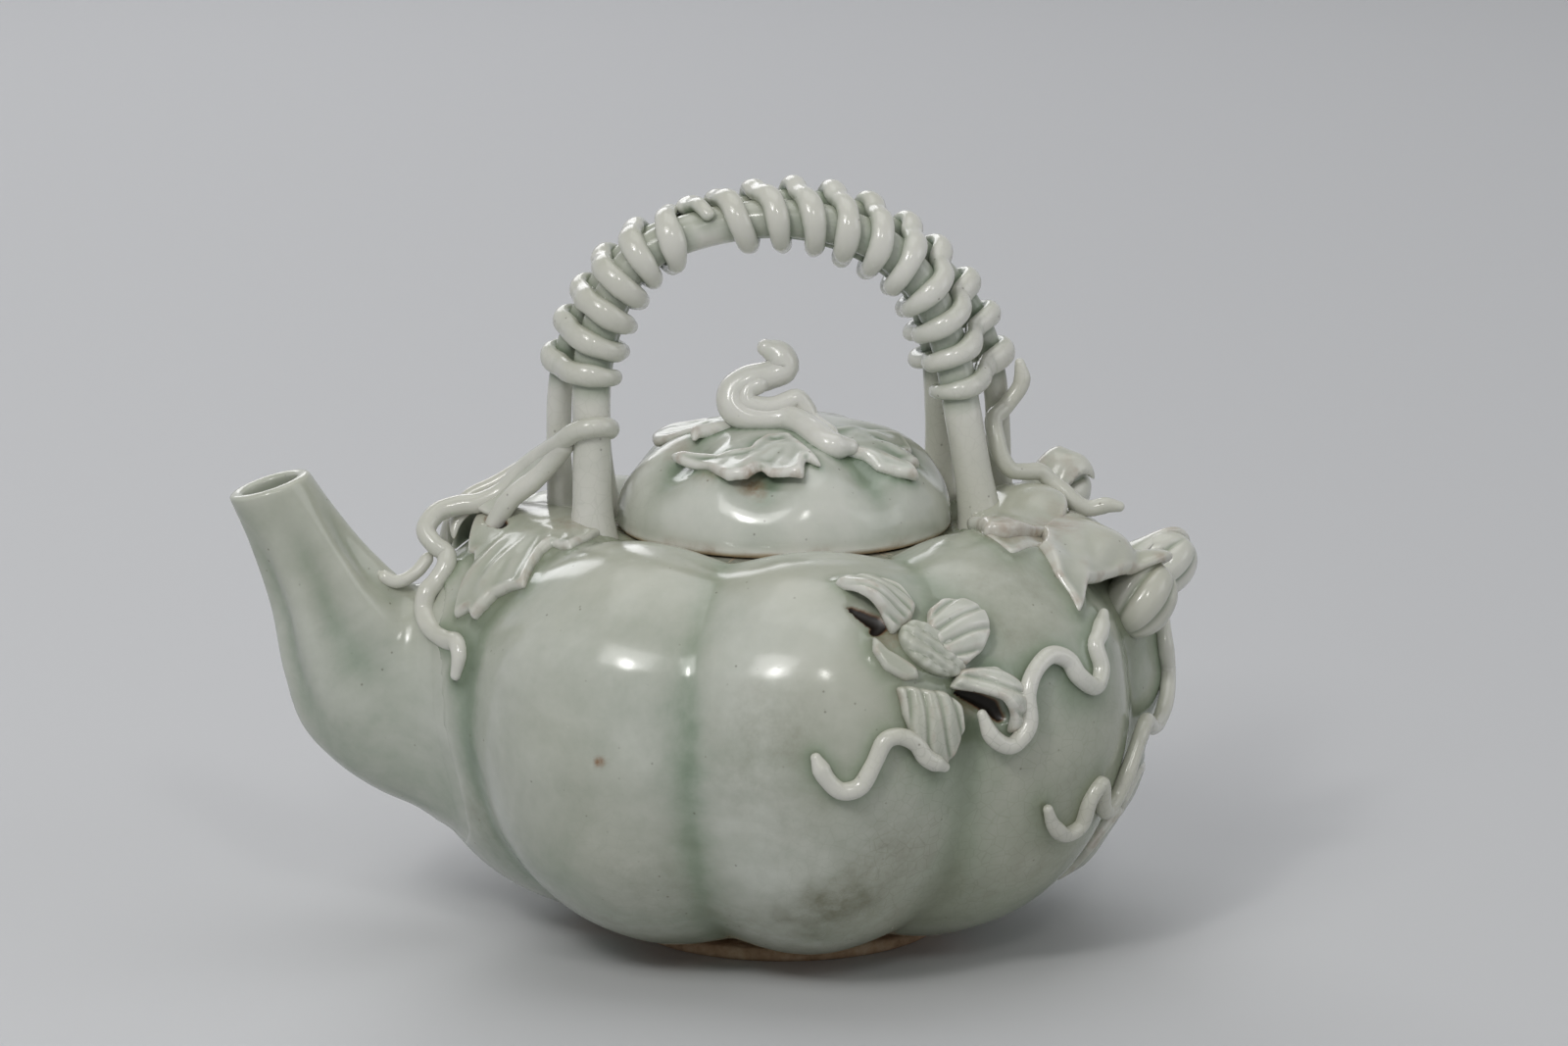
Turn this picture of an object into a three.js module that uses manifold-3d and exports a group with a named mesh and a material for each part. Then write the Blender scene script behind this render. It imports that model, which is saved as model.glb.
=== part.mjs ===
// A melon-shaped celadon kettle with a lifting lid, a bundled vine handle and applied leaves,
// vines, buds and a flower. Millimetres, +Z up. The origin is the centre of the flat foot,
// the spout points along -X and the handle arches over the mouth in the XZ plane.
import * as THREE from "three";
import { mergeVertices } from "three/addons/utils/BufferGeometryUtils.js";
import Module from "manifold-3d";

const wasm = await Module();
wasm.setup();

// Vessel
const bodyRadius = 74;
const shoulderHeight = 83;
const wall = 4;
const lobeCount = 8;
const grooveDepth = 5;
const grooveSharpness = 0.16;
const footRadius = 31;
const footHeight = 2.6;
const footEdge = 0.8;
const mouthLipDepth = 4.5;

// The rim, where the vessel's profile ends, and the ledge inside it that carries the lid
const rimRadiusShare = 0.458;
const rimHeightShare = 0.964;
const rimRoll = 2.9;
const rimDrop = 1.1;
const ledgeWidth = 5.6;
const ledgeRadius = rimRadiusShare * bodyRadius - rimRoll;
const ledgeHeight = rimHeightShare * shoulderHeight - rimDrop;
const mouthRadius = ledgeRadius - ledgeWidth;

// Lid
const lidOverhang = 1.3;
const lidRadius = ledgeRadius + lidOverhang;
const lidRise = 21;
const lidWall = 3;
const lidRimEdge = 1.2;
const lidGrooveDepth = 1.5;
const lidTurn = 7;
const flangeDepth = 6.3;
const flangeClearance = 1.2;
const flangeWall = 2.6;

// Spout
const spoutWall = 2.6;
const spoutPortRadius = 5.5;
const spoutPortHeight = 45;
const spoutRibDepth = 0.9;
const spoutRootWidth = 12;

// Handle
const handleClearance = 5.7;
const handleSpread = lidRadius + handleClearance;
const handleSink = 3;
const handleSeat = shoulderHeight - handleSink;
const handleRise = 60;
const frontStemRadius = 3.6;
const backStemRadius = 2.8;
const outerStemRadius = 2.4;
const stemFlare = 1.1;
const tendrilWidth = 4.1;
const tendrilThickness = 2;
const tendrilPinchShare = 0.25;
const leftTurns = 5.75;
const rightTurns = 9.75;

// Applied ornament
const vineRadius = 1.7;
const fineVineRadius = 1.3;
const leafThickness = 1.5;
const leafEdge = 0.7;
const leafSeat = 0.6;
const leafWidth = 8;
const leafCurl = 3;
const bridgeShare = 0.6;
const petalWidth = 6;
const budRadius = 6.8;
const budRibDepth = 0.9;
const budStretchShare = 1.1;
const flowerRadius = 7.2;
const flowerHeight = 2.6;
const flowerAspectShare = 0.68;
const finialRadius = 2;
const finialStrandRadius = 1.5;
const finialRise = 14;

// Fit between pieces that were luted together, and the overrun of every cut
const seatGap = 0.3;
const overrun = 3;

// Mesh fineness: points closer than the weld are one
const weld = 0.0001;
const lobeSteps = 6;
const outerRows = 13;
const innerRows = 3;
const lidRows = 6;

const degree = Math.PI / 180;
const glaze = { color: 0xc9d3c4, roughness: 0.22, metalness: 0 };
const biscuit = { color: 0xb79a78, roughness: 0.85, metalness: 0 };

// Solids and lofts

function toSolid(geometry) {
  const bare = new THREE.BufferGeometry();
  bare.setAttribute("position", geometry.getAttribute("position"));
  bare.setIndex(geometry.getIndex());
  const merged = mergeVertices(bare, weld);
  const triVerts = new Uint32Array(merged.index.array);
  const mesh = new wasm.Mesh({
    numProp: 3,
    vertProperties: merged.attributes.position.array,
    triVerts,
  });
  const solid = new wasm.Manifold(mesh);
  if (solid.volume() > 0) return solid;
  triVerts.reverse();
  return new wasm.Manifold(
    new wasm.Mesh({ numProp: 3, vertProperties: merged.attributes.position.array, triVerts }),
  );
}

function toGeometry(solid) {
  const { numProp, numVert, vertProperties, triVerts } = solid.getMesh();
  const position = new Float32Array(numVert * 3);
  for (let i = 0; i < numVert; i++) {
    position.set(vertProperties.subarray(i * numProp, i * numProp + 3), i * 3);
  }
  const geometry = new THREE.BufferGeometry();
  geometry.setAttribute("position", new THREE.BufferAttribute(position, 3));
  geometry.setIndex(new THREE.BufferAttribute(triVerts, 1));
  geometry.computeVertexNormals();
  return geometry;
}

// A closed skin through rings of points, each ring with as many points, its two ends capped.
function loft(rings) {
  const sides = rings[0].length;
  const points = rings.flat();
  const index = [];
  for (let row = 0; row + 1 < rings.length; row++) {
    for (let i = 0; i < sides; i++) {
      const next = (i + 1) % sides;
      const a = row * sides + i;
      const b = row * sides + next;
      index.push(a, b, b + sides, a, b + sides, a + sides);
    }
  }
  const middle = (ring) =>
    ring.reduce((sum, p) => sum.add(p), new THREE.Vector3()).divideScalar(sides);
  const first = points.push(middle(rings[0])) - 1;
  const last = points.push(middle(rings[rings.length - 1])) - 1;
  const top = (rings.length - 1) * sides;
  for (let i = 0; i < sides; i++) {
    const next = (i + 1) % sides;
    index.push(first, next, i, last, top + i, top + next);
  }
  const geometry = new THREE.BufferGeometry().setFromPoints(points);
  geometry.setIndex(index);
  return toSolid(geometry);
}

// A round tube along a curve; its radius follows the share of the way along it.
function tube(curve, steps, sides, radiusAt) {
  const frames = curve.computeFrenetFrames(steps, false);
  const rings = [];
  for (let step = 0; step <= steps; step++) {
    const share = step / steps;
    const centre = curve.getPointAt(share);
    const radius = radiusAt(share);
    rings.push(
      Array.from({ length: sides }, (_, i) => {
        const turn = (2 * Math.PI * i) / sides;
        return centre
          .clone()
          .addScaledVector(frames.normals[step], radius * Math.cos(turn))
          .addScaledVector(frames.binormals[step], radius * Math.sin(turn));
      }),
    );
  }
  return loft(rings);
}

// The largest of the bodies that a cut leaves; the rest are crumbs.
function largest(solid) {
  const bodies = solid.decompose();
  bodies.sort((a, b) => b.volume() - a.volume());
  return bodies[0];
}

// Lobed skins

// How deep a groove is at an angle: 1 in its bottom, 0 in the middle of a lobe.
function valley(angle, sharpness) {
  const across = Math.abs(Math.cos((lobeCount / 2) * angle * degree));
  const rounded = Math.hypot(across, sharpness) - sharpness;
  return 1 - rounded / (Math.hypot(1, sharpness) - sharpness);
}

// The skin of a lobed turned form: angle in degrees, share of the way up its profile.
class LobedSkin {
  constructor(profile, depth, sharpness, fade, turn) {
    this.curve = new THREE.SplineCurve(profile);
    this.length = this.curve.getLength();
    this.depth = depth;
    this.sharpness = sharpness;
    this.fade = fade;
    this.turn = turn;
  }

  // Bridge is the share of each groove that is spanned, as a leaf spans it.
  section(angle, share, lift, bridge = 0) {
    const t = THREE.MathUtils.clamp(share, 0, 1);
    const point = this.curve.getPointAt(t);
    const tangent = this.curve.getTangentAt(t);
    const groove = this.depth * this.fade(t) * valley(angle - this.turn, this.sharpness);
    const out = lift - groove * (1 - bridge);
    return new THREE.Vector2(point.x + tangent.y * out, point.y - tangent.x * out);
  }

  at(angle, share, lift = 0, bridge = 0) {
    const { x, y } = this.section(angle, share, lift, bridge);
    return new THREE.Vector3(x * Math.cos(angle * degree), x * Math.sin(angle * degree), y);
  }

  normal(angle, share) {
    const step = 0.01;
    const around = this.at(angle + 1, share).sub(this.at(angle - 1, share));
    const up = this.at(angle, Math.min(1, share + step)).sub(this.at(angle, share - step));
    return around.cross(up).normalize();
  }

  // The place on the skin that lies nearest to a point.
  onto(point) {
    const angle = Math.atan2(point.y, point.x) / degree;
    const target = new THREE.Vector2(Math.hypot(point.x, point.y), point.z);
    const distance = (share) => this.section(angle, share, 0).distanceTo(target);
    let share = 0;
    for (let next = 0; next <= 1; next += 1 / 32) {
      if (distance(next) < distance(share)) share = next;
    }
    for (let step = 1 / 64; step > 1e-4; step /= 2) {
      for (const next of [share - step, share + step]) {
        if (distance(next) < distance(share)) share = THREE.MathUtils.clamp(next, 0, 1);
      }
    }
    return { angle, share };
  }

  // A point reached from a place on the skin by going a length along a heading and to its side.
  walk(place, along, side, lift) {
    const heading = place.heading * degree;
    const east = along * Math.cos(heading) - side * Math.sin(heading);
    const up = along * Math.sin(heading) + side * Math.cos(heading);
    const share = place.share + up / this.length;
    const middle = this.section(place.angle, (share + place.share) / 2, 0).x;
    const angle = place.angle + east / middle / degree;
    return this.at(angle, share).addScaledVector(this.normal(angle, share), lift);
  }
}

const bodyProfileShares = [
  [0.42, 0.035], [0.57, 0.058], [0.757, 0.139], [0.9, 0.277], [0.98, 0.458], [1, 0.602],
  [0.953, 0.795], [0.825, 0.928], [0.703, 0.985], [0.595, 1], [0.514, 0.988],
  [rimRadiusShare, rimHeightShare],
];
const bodySkin = new LobedSkin(
  bodyProfileShares.map(([r, z]) => new THREE.Vector2(r * bodyRadius, z * shoulderHeight)),
  grooveDepth,
  grooveSharpness,
  (share) => 0.35 + 0.65 * Math.sin(Math.PI * Math.min(1, share)) ** 0.8,
  0,
);

const lidProfileShares = [
  [1, 0.05], [1, 0.18], [0.978, 0.35], [0.93, 0.51], [0.84, 0.68], [0.67, 0.85], [0.43, 0.955],
  [0.19, 0.99], [0.02, 1],
];
const lidBase = ledgeHeight + seatGap;
const lidSkin = new LobedSkin(
  lidProfileShares.map(([r, z]) => new THREE.Vector2(r * lidRadius, lidBase + z * lidRise)),
  lidGrooveDepth,
  1,
  (share) => Math.sin(Math.PI * THREE.MathUtils.clamp((share - 0.08) / 0.7, 0, 1)) ** 2,
  lidTurn,
);

function turnedRing(sides, radius, height) {
  return Array.from({ length: sides }, (_, i) => {
    const turn = (2 * Math.PI * i) / sides;
    return new THREE.Vector3(radius * Math.cos(turn), radius * Math.sin(turn), height);
  });
}

function skinRing(skin, share, lift) {
  const sides = lobeCount * lobeSteps;
  return Array.from({ length: sides }, (_, i) => skin.at((360 * i) / sides, share, lift));
}

function outerRings(skin, rows, lift) {
  return Array.from({ length: rows + 1 }, (_, row) => skinRing(skin, row / rows, lift));
}

// The space that the body takes, grown by the seat gap: what is applied to the body is cut by it.
const bodyKeepOut = (() => {
  const sides = lobeCount * lobeSteps;
  const rings = outerRings(bodySkin, outerRows, seatGap);
  return loft([...rings, turnedRing(sides, ledgeRadius / 2, ledgeHeight)]);
})();

const lidKeepOut = loft([
  turnedRing(lobeCount * lobeSteps, ledgeRadius / 2, ledgeHeight),
  ...outerRings(lidSkin, lidRows, seatGap),
]);

// Vessel

function spoutPort() {
  const length = bodyRadius / 2;
  const bore = new THREE.CylinderGeometry(spoutPortRadius, spoutPortRadius, length, 16);
  bore.rotateZ(Math.PI / 2);
  bore.translate(-bodyRadius, 0, spoutPortHeight);
  return toSolid(bore);
}

function bodyShell() {
  const sides = lobeCount * lobeSteps;
  const rings = outerRings(bodySkin, outerRows, 0);
  rings.push(turnedRing(sides, ledgeRadius, ledgeHeight));
  rings.push(turnedRing(sides, mouthRadius, ledgeHeight));
  rings.push(turnedRing(sides, mouthRadius, ledgeHeight - mouthLipDepth));
  for (let row = innerRows; row >= 0; row--) {
    rings.push(skinRing(bodySkin, 0.01 + (0.86 * row) / innerRows, -wall));
  }
  return loft(rings).subtract(spoutPort());
}

function footDisc() {
  const profile = [
    [0, 0],
    [footRadius - footEdge, 0],
    [footRadius, footEdge],
    [footRadius, footHeight],
    [0, footHeight],
  ];
  return toSolid(new THREE.LatheGeometry(profile.map(([r, z]) => new THREE.Vector2(r, z)), 36)
    .rotateX(Math.PI / 2));
}

// Spout

// Each station: lower point, upper point and half width, as shares of the vessel's radius and
// height and of the spout's root half width.
const spoutStationShares = [
  [-1.445, 1.048, -1.236, 1.105, 0.64],
  [-1.394, 0.936, -1.18, 1.03, 0.66],
  [-1.345, 0.794, -1.112, 0.95, 0.71],
  [-1.312, 0.63, -1.05, 0.89, 0.79],
  [-1.269, 0.511, -0.98, 0.83, 0.88],
  [-1.178, 0.416, -0.9, 0.75, 0.96],
  [-1.06, 0.345, -0.83, 0.65, 1],
  [-0.94, 0.3, -0.78, 0.56, 1],
];

function spoutRings(inset, from, steps) {
  const rows = spoutStationShares.map(([lx, lz, ux, uz, width]) => ({
    lower: new THREE.Vector3(lx * bodyRadius, 0, lz * shoulderHeight),
    upper: new THREE.Vector3(ux * bodyRadius, 0, uz * shoulderHeight),
    width: width * spoutRootWidth,
  }));
  const lower = new THREE.CatmullRomCurve3(rows.map((row) => row.lower));
  const upper = new THREE.CatmullRomCurve3(rows.map((row) => row.upper));
  const widths = new THREE.SplineCurve(rows.map((row, i) => new THREE.Vector2(i, row.width)));
  const sides = 18;
  return Array.from({ length: steps + 1 }, (_, step) => {
    const share = from + ((1 - from) * step) / steps;
    const a = lower.getPoint(share);
    const b = upper.getPoint(share);
    const centre = a.clone().add(b).divideScalar(2);
    const reach = a.distanceTo(b) / 2;
    const across = b.clone().sub(a).normalize();
    const width = widths.getPoint(share).y;
    const rib = spoutRibDepth * Math.sin(Math.PI * Math.min(1, share * 1.3)) ** 2;
    return Array.from({ length: sides }, (_, i) => {
      const turn = (2 * Math.PI * i) / sides;
      const shrink = inset + rib * (0.5 - 0.5 * Math.cos(6 * turn));
      return centre
        .clone()
        .addScaledVector(across, (reach - shrink) * Math.cos(turn))
        .add(new THREE.Vector3(0, (width - shrink) * Math.sin(turn), 0));
    });
  });
}

function spout() {
  const outside = loft(spoutRings(0, 0, 12));
  const rings = spoutRings(spoutWall, 0, 8);
  const lift = rings[0][0].clone().sub(rings[1][0]).normalize().multiplyScalar(overrun);
  const channel = loft([rings[0].map((point) => point.clone().add(lift)), ...rings]);
  return largest(outside.subtract(channel).subtract(bodyKeepOut));
}

// Handle

// Paths of the three stems: shares of the spread, of the vessel's radius and of the rise.
const frontStemShares = [
  [-1, -0.11, -0.06], [-1, -0.095, 0.3], [-0.97, -0.058, 0.61], [-0.76, -0.048, 0.868],
  [-0.34, -0.046, 0.982], [0.09, -0.046, 0.99], [0.44, -0.048, 0.92], [0.69, -0.05, 0.775],
  [0.83, -0.058, 0.575], [0.9, -0.09, 0.33], [1, -0.11, -0.06],
];
const backStemShares = [
  [-0.87, 0.24, -0.06], [-0.93, 0.15, 0.3], [-0.907, 0.045, 0.6], [-0.722, 0.035, 0.843],
  [-0.328, 0.033, 0.948], [0.081, 0.033, 0.957], [0.408, 0.035, 0.885], [0.664, 0.05, 0.763],
  [0.784, 0.085, 0.567], [0.82, 0.16, 0.3], [0.87, 0.24, -0.06],
];
const outerStemShares = [
  [-1.11, 0.07, -0.06], [-1.14, 0.06, 0.27], [-1.09, 0.022, 0.59], [-0.785, 0.032, 0.882],
  [-0.342, 0.032, 0.992], [0.1, 0.034, 1.033], [0.477, 0.04, 0.962], [0.788, 0.045, 0.82],
  [1.02, 0.06, 0.62], [1.11, 0.08, 0.42], [1.14, 0.09, -0.06],
];

function stemCurve(shares) {
  return new THREE.CatmullRomCurve3(
    shares.map(
      ([x, y, z]) =>
        new THREE.Vector3(x * handleSpread, y * bodyRadius, handleSeat + z * handleRise),
    ),
    false,
    "centripetal",
  );
}

const stems = [
  { curve: stemCurve(frontStemShares), radius: frontStemRadius },
  { curve: stemCurve(backStemShares), radius: backStemRadius },
  { curve: stemCurve(outerStemShares), radius: outerStemRadius },
];

function stem({ curve, radius }, grow = 0) {
  const flare = (share) => Math.max(0, 1 - Math.min(share, 1 - share) / 0.12) ** 2;
  return tube(curve, 28, 8, (share) => radius + grow + stemFlare * flare(share));
}

// The bundle's section at a share of the way over the arch, with its centre, its outward
// direction and each stem's place in the section.
function bundle(share) {
  const places = stems.map(({ curve }) => curve.getPointAt(share));
  const centre = places.reduce((sum, p) => sum.add(p), new THREE.Vector3()).divideScalar(3);
  const front = new THREE.Vector3(0, -1, 0);
  const out = new THREE.Vector3().crossVectors(front, stems[0].curve.getTangentAt(share));
  out.normalize();
  const circles = places.map((place, i) => {
    const offset = place.clone().sub(centre);
    const reach = stems[i].radius + tendrilThickness / 2 + seatGap;
    return { x: offset.dot(front), y: offset.dot(out), reach };
  });
  return { centre, front, out, circles };
}

// How far from the bundle's centre a strand runs at a turn: midway between a taut wrap and one
// that sinks into the creases between the stems.
function wrapReach(circles, turn) {
  const dx = Math.cos(turn);
  const dy = Math.sin(turn);
  let taut = Infinity;
  for (let k = 0; k < 72; k++) {
    const nx = Math.cos((k * Math.PI) / 36);
    const ny = Math.sin((k * Math.PI) / 36);
    const facing = nx * dx + ny * dy;
    if (facing < 0.05) continue;
    const support = Math.max(...circles.map((c) => c.x * nx + c.y * ny + c.reach));
    taut = Math.min(taut, support / facing);
  }
  const sunk = Math.max(
    ...circles.map((c) => {
      const along = c.x * dx + c.y * dy;
      const off = c.reach ** 2 - (c.x ** 2 + c.y ** 2 - along ** 2);
      return off > 0 ? along + Math.sqrt(off) : 0;
    }),
  );
  return (taut + Math.max(sunk, taut / 2)) / 2;
}

// Where a strand lies round the bundle, step by step: the share of the arch and the turn. It
// climbs faster across the front by the skew.
function windingSteps(from, pitch, turns, skew) {
  const stepsPerTurn = 24;
  return Array.from({ length: Math.round(turns * stepsPerTurn) + 1 }, (_, step) => {
    const count = step / stepsPerTurn;
    const turn = 2 * Math.PI * count - Math.PI / 2;
    return { share: from + pitch * (count + (skew * Math.sin(turn)) / (2 * Math.PI)), turn };
  });
}

// The free end of a strand: it turns back over the top of the bundle and lies on its front.
function hookSteps(last, pitch) {
  const steps = 14;
  return Array.from({ length: steps }, (_, i) => {
    const way = (i + 1) / steps;
    const reach = Math.sin(Math.min(1, way * 2) * (Math.PI / 2)) * 0.72;
    const back = Math.max(0, way - 0.6);
    return {
      share: last.share + pitch * (reach - back),
      turn: last.turn - way * 2.7,
    };
  });
}

// A strand is pinched on the inner side of the arch, where its turns crowd together.
function widthAt(turn) {
  return tendrilWidth * (1 - tendrilPinchShare * Math.max(0, -Math.sin(turn)));
}

function leastSelfGap(points, widths) {
  const lengths = [0];
  for (let i = 1; i < points.length; i++) {
    lengths.push(lengths[i - 1] + points[i].distanceTo(points[i - 1]));
  }
  let least = Infinity;
  points.forEach((point, i) => {
    for (let j = i + 1; j < points.length; j++) {
      if (lengths[j] - lengths[i] < 3 * tendrilWidth) continue;
      least = Math.min(least, point.distanceTo(points[j]) - (widths[i] + widths[j]) / 2);
    }
  });
  return least;
}

// A flattened strand through winding steps, one unbroken tube of six sides.
function winding(name, steps) {
  const places = steps.map(({ share, turn }) => {
    const { centre, front, out, circles } = bundle(share);
    const away = front.multiplyScalar(Math.cos(turn)).addScaledVector(out, Math.sin(turn));
    return { point: centre.addScaledVector(away, wrapReach(circles, turn)), away };
  });
  const points = places.map(({ point }) => point);
  const widths = steps.map(({ turn }) => widthAt(turn));
  console.log(name, "least gap to itself", leastSelfGap(points, widths).toFixed(2), "mm");
  const sides = 6;
  const rings = places.map(({ point, away }, i) => {
    const before = points[Math.max(0, i - 1)];
    const after = points[Math.min(points.length - 1, i + 1)];
    const along = after.clone().sub(before).normalize();
    const lift = away.clone().addScaledVector(along, -away.dot(along)).normalize();
    const side = new THREE.Vector3().crossVectors(along, lift);
    return Array.from({ length: sides }, (_, k) => {
      const turn = (2 * Math.PI * (k + 0.5)) / sides;
      return point
        .clone()
        .addScaledVector(lift, (tendrilThickness / 2) * Math.cos(turn))
        .addScaledVector(side, (widths[i] / 2) * Math.sin(turn));
    });
  });
  return loft(rings);
}

const leftWinding = { fromShare: 0.195, pitchShare: 0.0356, turns: leftTurns, skew: 0 };
const rightWinding = { fromShare: 0.828, pitchShare: -0.0396, turns: rightTurns, skew: 0.75 };

// A strand clears the stems by a third of the seat gap where it presses on them.
function clearOfStems(strand) {
  const pressed = stems.map((each) => stem(each, seatGap / 3));
  return largest(pressed.reduce((rest, each) => rest.subtract(each), strand));
}

function leftTendril() {
  const { fromShare, pitchShare, turns, skew } = leftWinding;
  return winding("left tendril", windingSteps(fromShare, pitchShare, turns, skew));
}

function rightTendril() {
  const { fromShare, pitchShare, turns, skew } = rightWinding;
  const steps = windingSteps(fromShare, pitchShare, turns, skew);
  return winding("right tendril", [...steps, ...hookSteps(steps[steps.length - 1], pitchShare)]);
}

// Lid

function lidDome() {
  const sides = lobeCount * lobeSteps;
  const flangeRadius = mouthRadius - flangeClearance;
  const bore = flangeRadius - flangeWall;
  const rings = [0.97, 0.8, 0.62, 0.46].map((share) => skinRing(lidSkin, share, -lidWall));
  rings.push(turnedRing(sides, bore, lidBase + lidWall / 2));
  rings.push(turnedRing(sides, bore, lidBase - flangeDepth));
  rings.push(turnedRing(sides, flangeRadius, lidBase - flangeDepth));
  rings.push(turnedRing(sides, flangeRadius, lidBase));
  rings.push(turnedRing(sides, lidRadius - lidRimEdge, lidBase));
  return loft([...rings, ...outerRings(lidSkin, lidRows, 0)]);
}

// Applied ornament

// One finger of a leaf or petal: a plate along a skin from its root to its tip, with a middle rib.
function finger(skin, { root, tip, width, bluntShare, curl }, grow) {
  const from = skin.at(...root);
  const to = skin.at(...tip);
  const chord = to.clone().sub(from);
  const rows = 4;
  return loft(
    Array.from({ length: rows + 1 }, (_, row) => {
      const share = row / rows;
      const spread = Math.sin(Math.PI * (0.2 + (0.78 - bluntShare) * share));
      const half = width * spread + grow;
      const middle = from.clone().lerp(to, share);
      const place = skin.onto(middle);
      const up = skin.normal(place.angle, place.share);
      const side = chord.clone().cross(up).normalize();
      const lift = curl * share ** 2;
      const point = (across, height) => {
        const spot = skin.onto(middle.clone().addScaledVector(side, across * half));
        return skin.at(spot.angle, spot.share, lift + height, bridgeShare);
      };
      return [
        point(-1, leafSeat - grow),
        point(-1, leafSeat + leafEdge + grow),
        point(0, leafSeat + leafThickness + grow),
        point(1, leafSeat + leafEdge + grow),
        point(1, leafSeat - grow),
      ];
    }),
  );
}

// A leaf: its fingers, each given by the angle and share of its root and of its tip on the skin,
// then its half width and its curl as shares of the leaf's width and curl.
function leaf(skin, fingerShares, grow) {
  return fingerShares
    .map(([rootAngle, rootShare, tipAngle, tipShare, widthShare, curlShare]) =>
      finger(
        skin,
        {
          root: [rootAngle, rootShare],
          tip: [tipAngle, tipShare],
          width: widthShare * leafWidth,
          bluntShare: 0,
          curl: curlShare * leafCurl,
        },
        grow,
      ),
    )
    .reduce((joined, next) => joined.add(next));
}

// A vine is thinner at its two ends.
function taper(share) {
  return 1 - 0.4 * Math.max(0, 1 - Math.min(share, 1 - share) / 0.06);
}

// A round vine through points.
function vine(points, radius, steps, grow) {
  const curve = new THREE.CatmullRomCurve3(points, false, "centripetal");
  return tube(curve, steps, 6, (share) => radius * taper(share) + grow);
}

// A vine that lies on the body, through angles and shares of its skin: flat below, round above.
function creeper(placeShares, radius, grow) {
  const points = placeShares.map(([angle, share]) => bodySkin.at(angle, share, leafSeat, bridgeShare));
  const curve = new THREE.CatmullRomCurve3(points, false, "centripetal");
  const steps = Math.round(1.7 * points.length);
  const section = [[-0.8, 0], [-1, 0.6], [-0.45, 1.35], [0.45, 1.35], [1, 0.6], [0.8, 0]];
  return loft(
    Array.from({ length: steps + 1 }, (_, step) => {
      const share = step / steps;
      const centre = curve.getPointAt(share);
      const place = bodySkin.onto(centre);
      const up = bodySkin.normal(place.angle, place.share);
      const side = curve.getTangentAt(share).cross(up).normalize();
      const size = radius * taper(share);
      return section.map(([across, height]) =>
        centre
          .clone()
          .addScaledVector(side, across * size + Math.sign(across) * grow)
          .addScaledVector(up, height > 0 ? height * size + grow : -grow),
      );
    }),
  );
}

// A point given as shares of the vessel's radius and of its shoulder's height.
function spacePoint([x, y, z]) {
  return new THREE.Vector3(x * bodyRadius, y * bodyRadius, z * shoulderHeight);
}

// A young melon: a ribbed egg on the skin, with its axis along the skin at a heading.
function melonBud({ angle, share, heading, size, raise }, grow) {
  const ribs = 5;
  const rows = 6;
  const place = { angle, share, heading };
  const radius = size * budRadius;
  return loft(
    Array.from({ length: rows + 1 }, (_, row) => {
      const way = (Math.PI * (row + 0.25)) / (rows + 0.5);
      const along = -radius * budStretchShare * Math.cos(way);
      return Array.from({ length: ribs * 3 }, (_, i) => {
        const rib = i % 3 === 0 ? budRibDepth : 0;
        const reach = (radius + grow - rib) * Math.sin(way) ** 0.8;
        const turn = (2 * Math.PI * i) / (ribs * 3);
        return bodySkin.walk(place, along, 0, radius * raise)
          .addScaledVector(bodySkin.normal(angle, share), reach * Math.cos(turn))
          .addScaledVector(sideOf(place), reach * Math.sin(turn));
      });
    }),
  );
}

function sideOf(place) {
  const ahead = bodySkin.walk(place, budRadius, 0, 0).sub(bodySkin.walk(place, -budRadius, 0, 0));
  return ahead.cross(bodySkin.normal(place.angle, place.share)).normalize();
}

const flowerPlace = { angle: 287, share: 0.7, heading: -38 };

function flowerCentre(grow) {
  const ringShares = [[1, -0.4], [1, 0.5], [0.82, 0.86], [0.5, 1], [0.12, 1.05]];
  const sides = 14;
  return loft(
    ringShares.map(([reach, height]) =>
      Array.from({ length: sides }, (_, i) => {
        const turn = (2 * Math.PI * i) / sides;
        const along = (flowerRadius * reach + grow) * Math.cos(turn);
        const side = (flowerRadius * flowerAspectShare * reach + grow) * Math.sin(turn);
        return bodySkin.walk(flowerPlace, along, side, flowerHeight * height + grow);
      }),
    ),
  );
}

// Each petal: angle and share of its root and tip, half width share, blunt share, curl share.
const petalShares = [
  [282.5, 0.742, 272.8, 0.828, 0.8, 0, 1],
  [288, 0.722, 297.4, 0.7, 0.85, 0.25, 0],
  [289.2, 0.645, 300.2, 0.572, 0.68, 0.1, 0.7],
  [284.6, 0.65, 286, 0.52, 1, 0, 0.2],
  [279, 0.727, 283, 0.65, 0.32, 0, 0],
];

function petal([rootAngle, rootShare, tipAngle, tipShare, widthShare, bluntShare, curlShare], grow) {
  const root = [rootAngle, rootShare];
  const tip = [tipAngle, tipShare];
  const width = widthShare * petalWidth;
  return finger(bodySkin, { root, tip, width, bluntShare, curl: curlShare * leafCurl }, grow);
}

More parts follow.
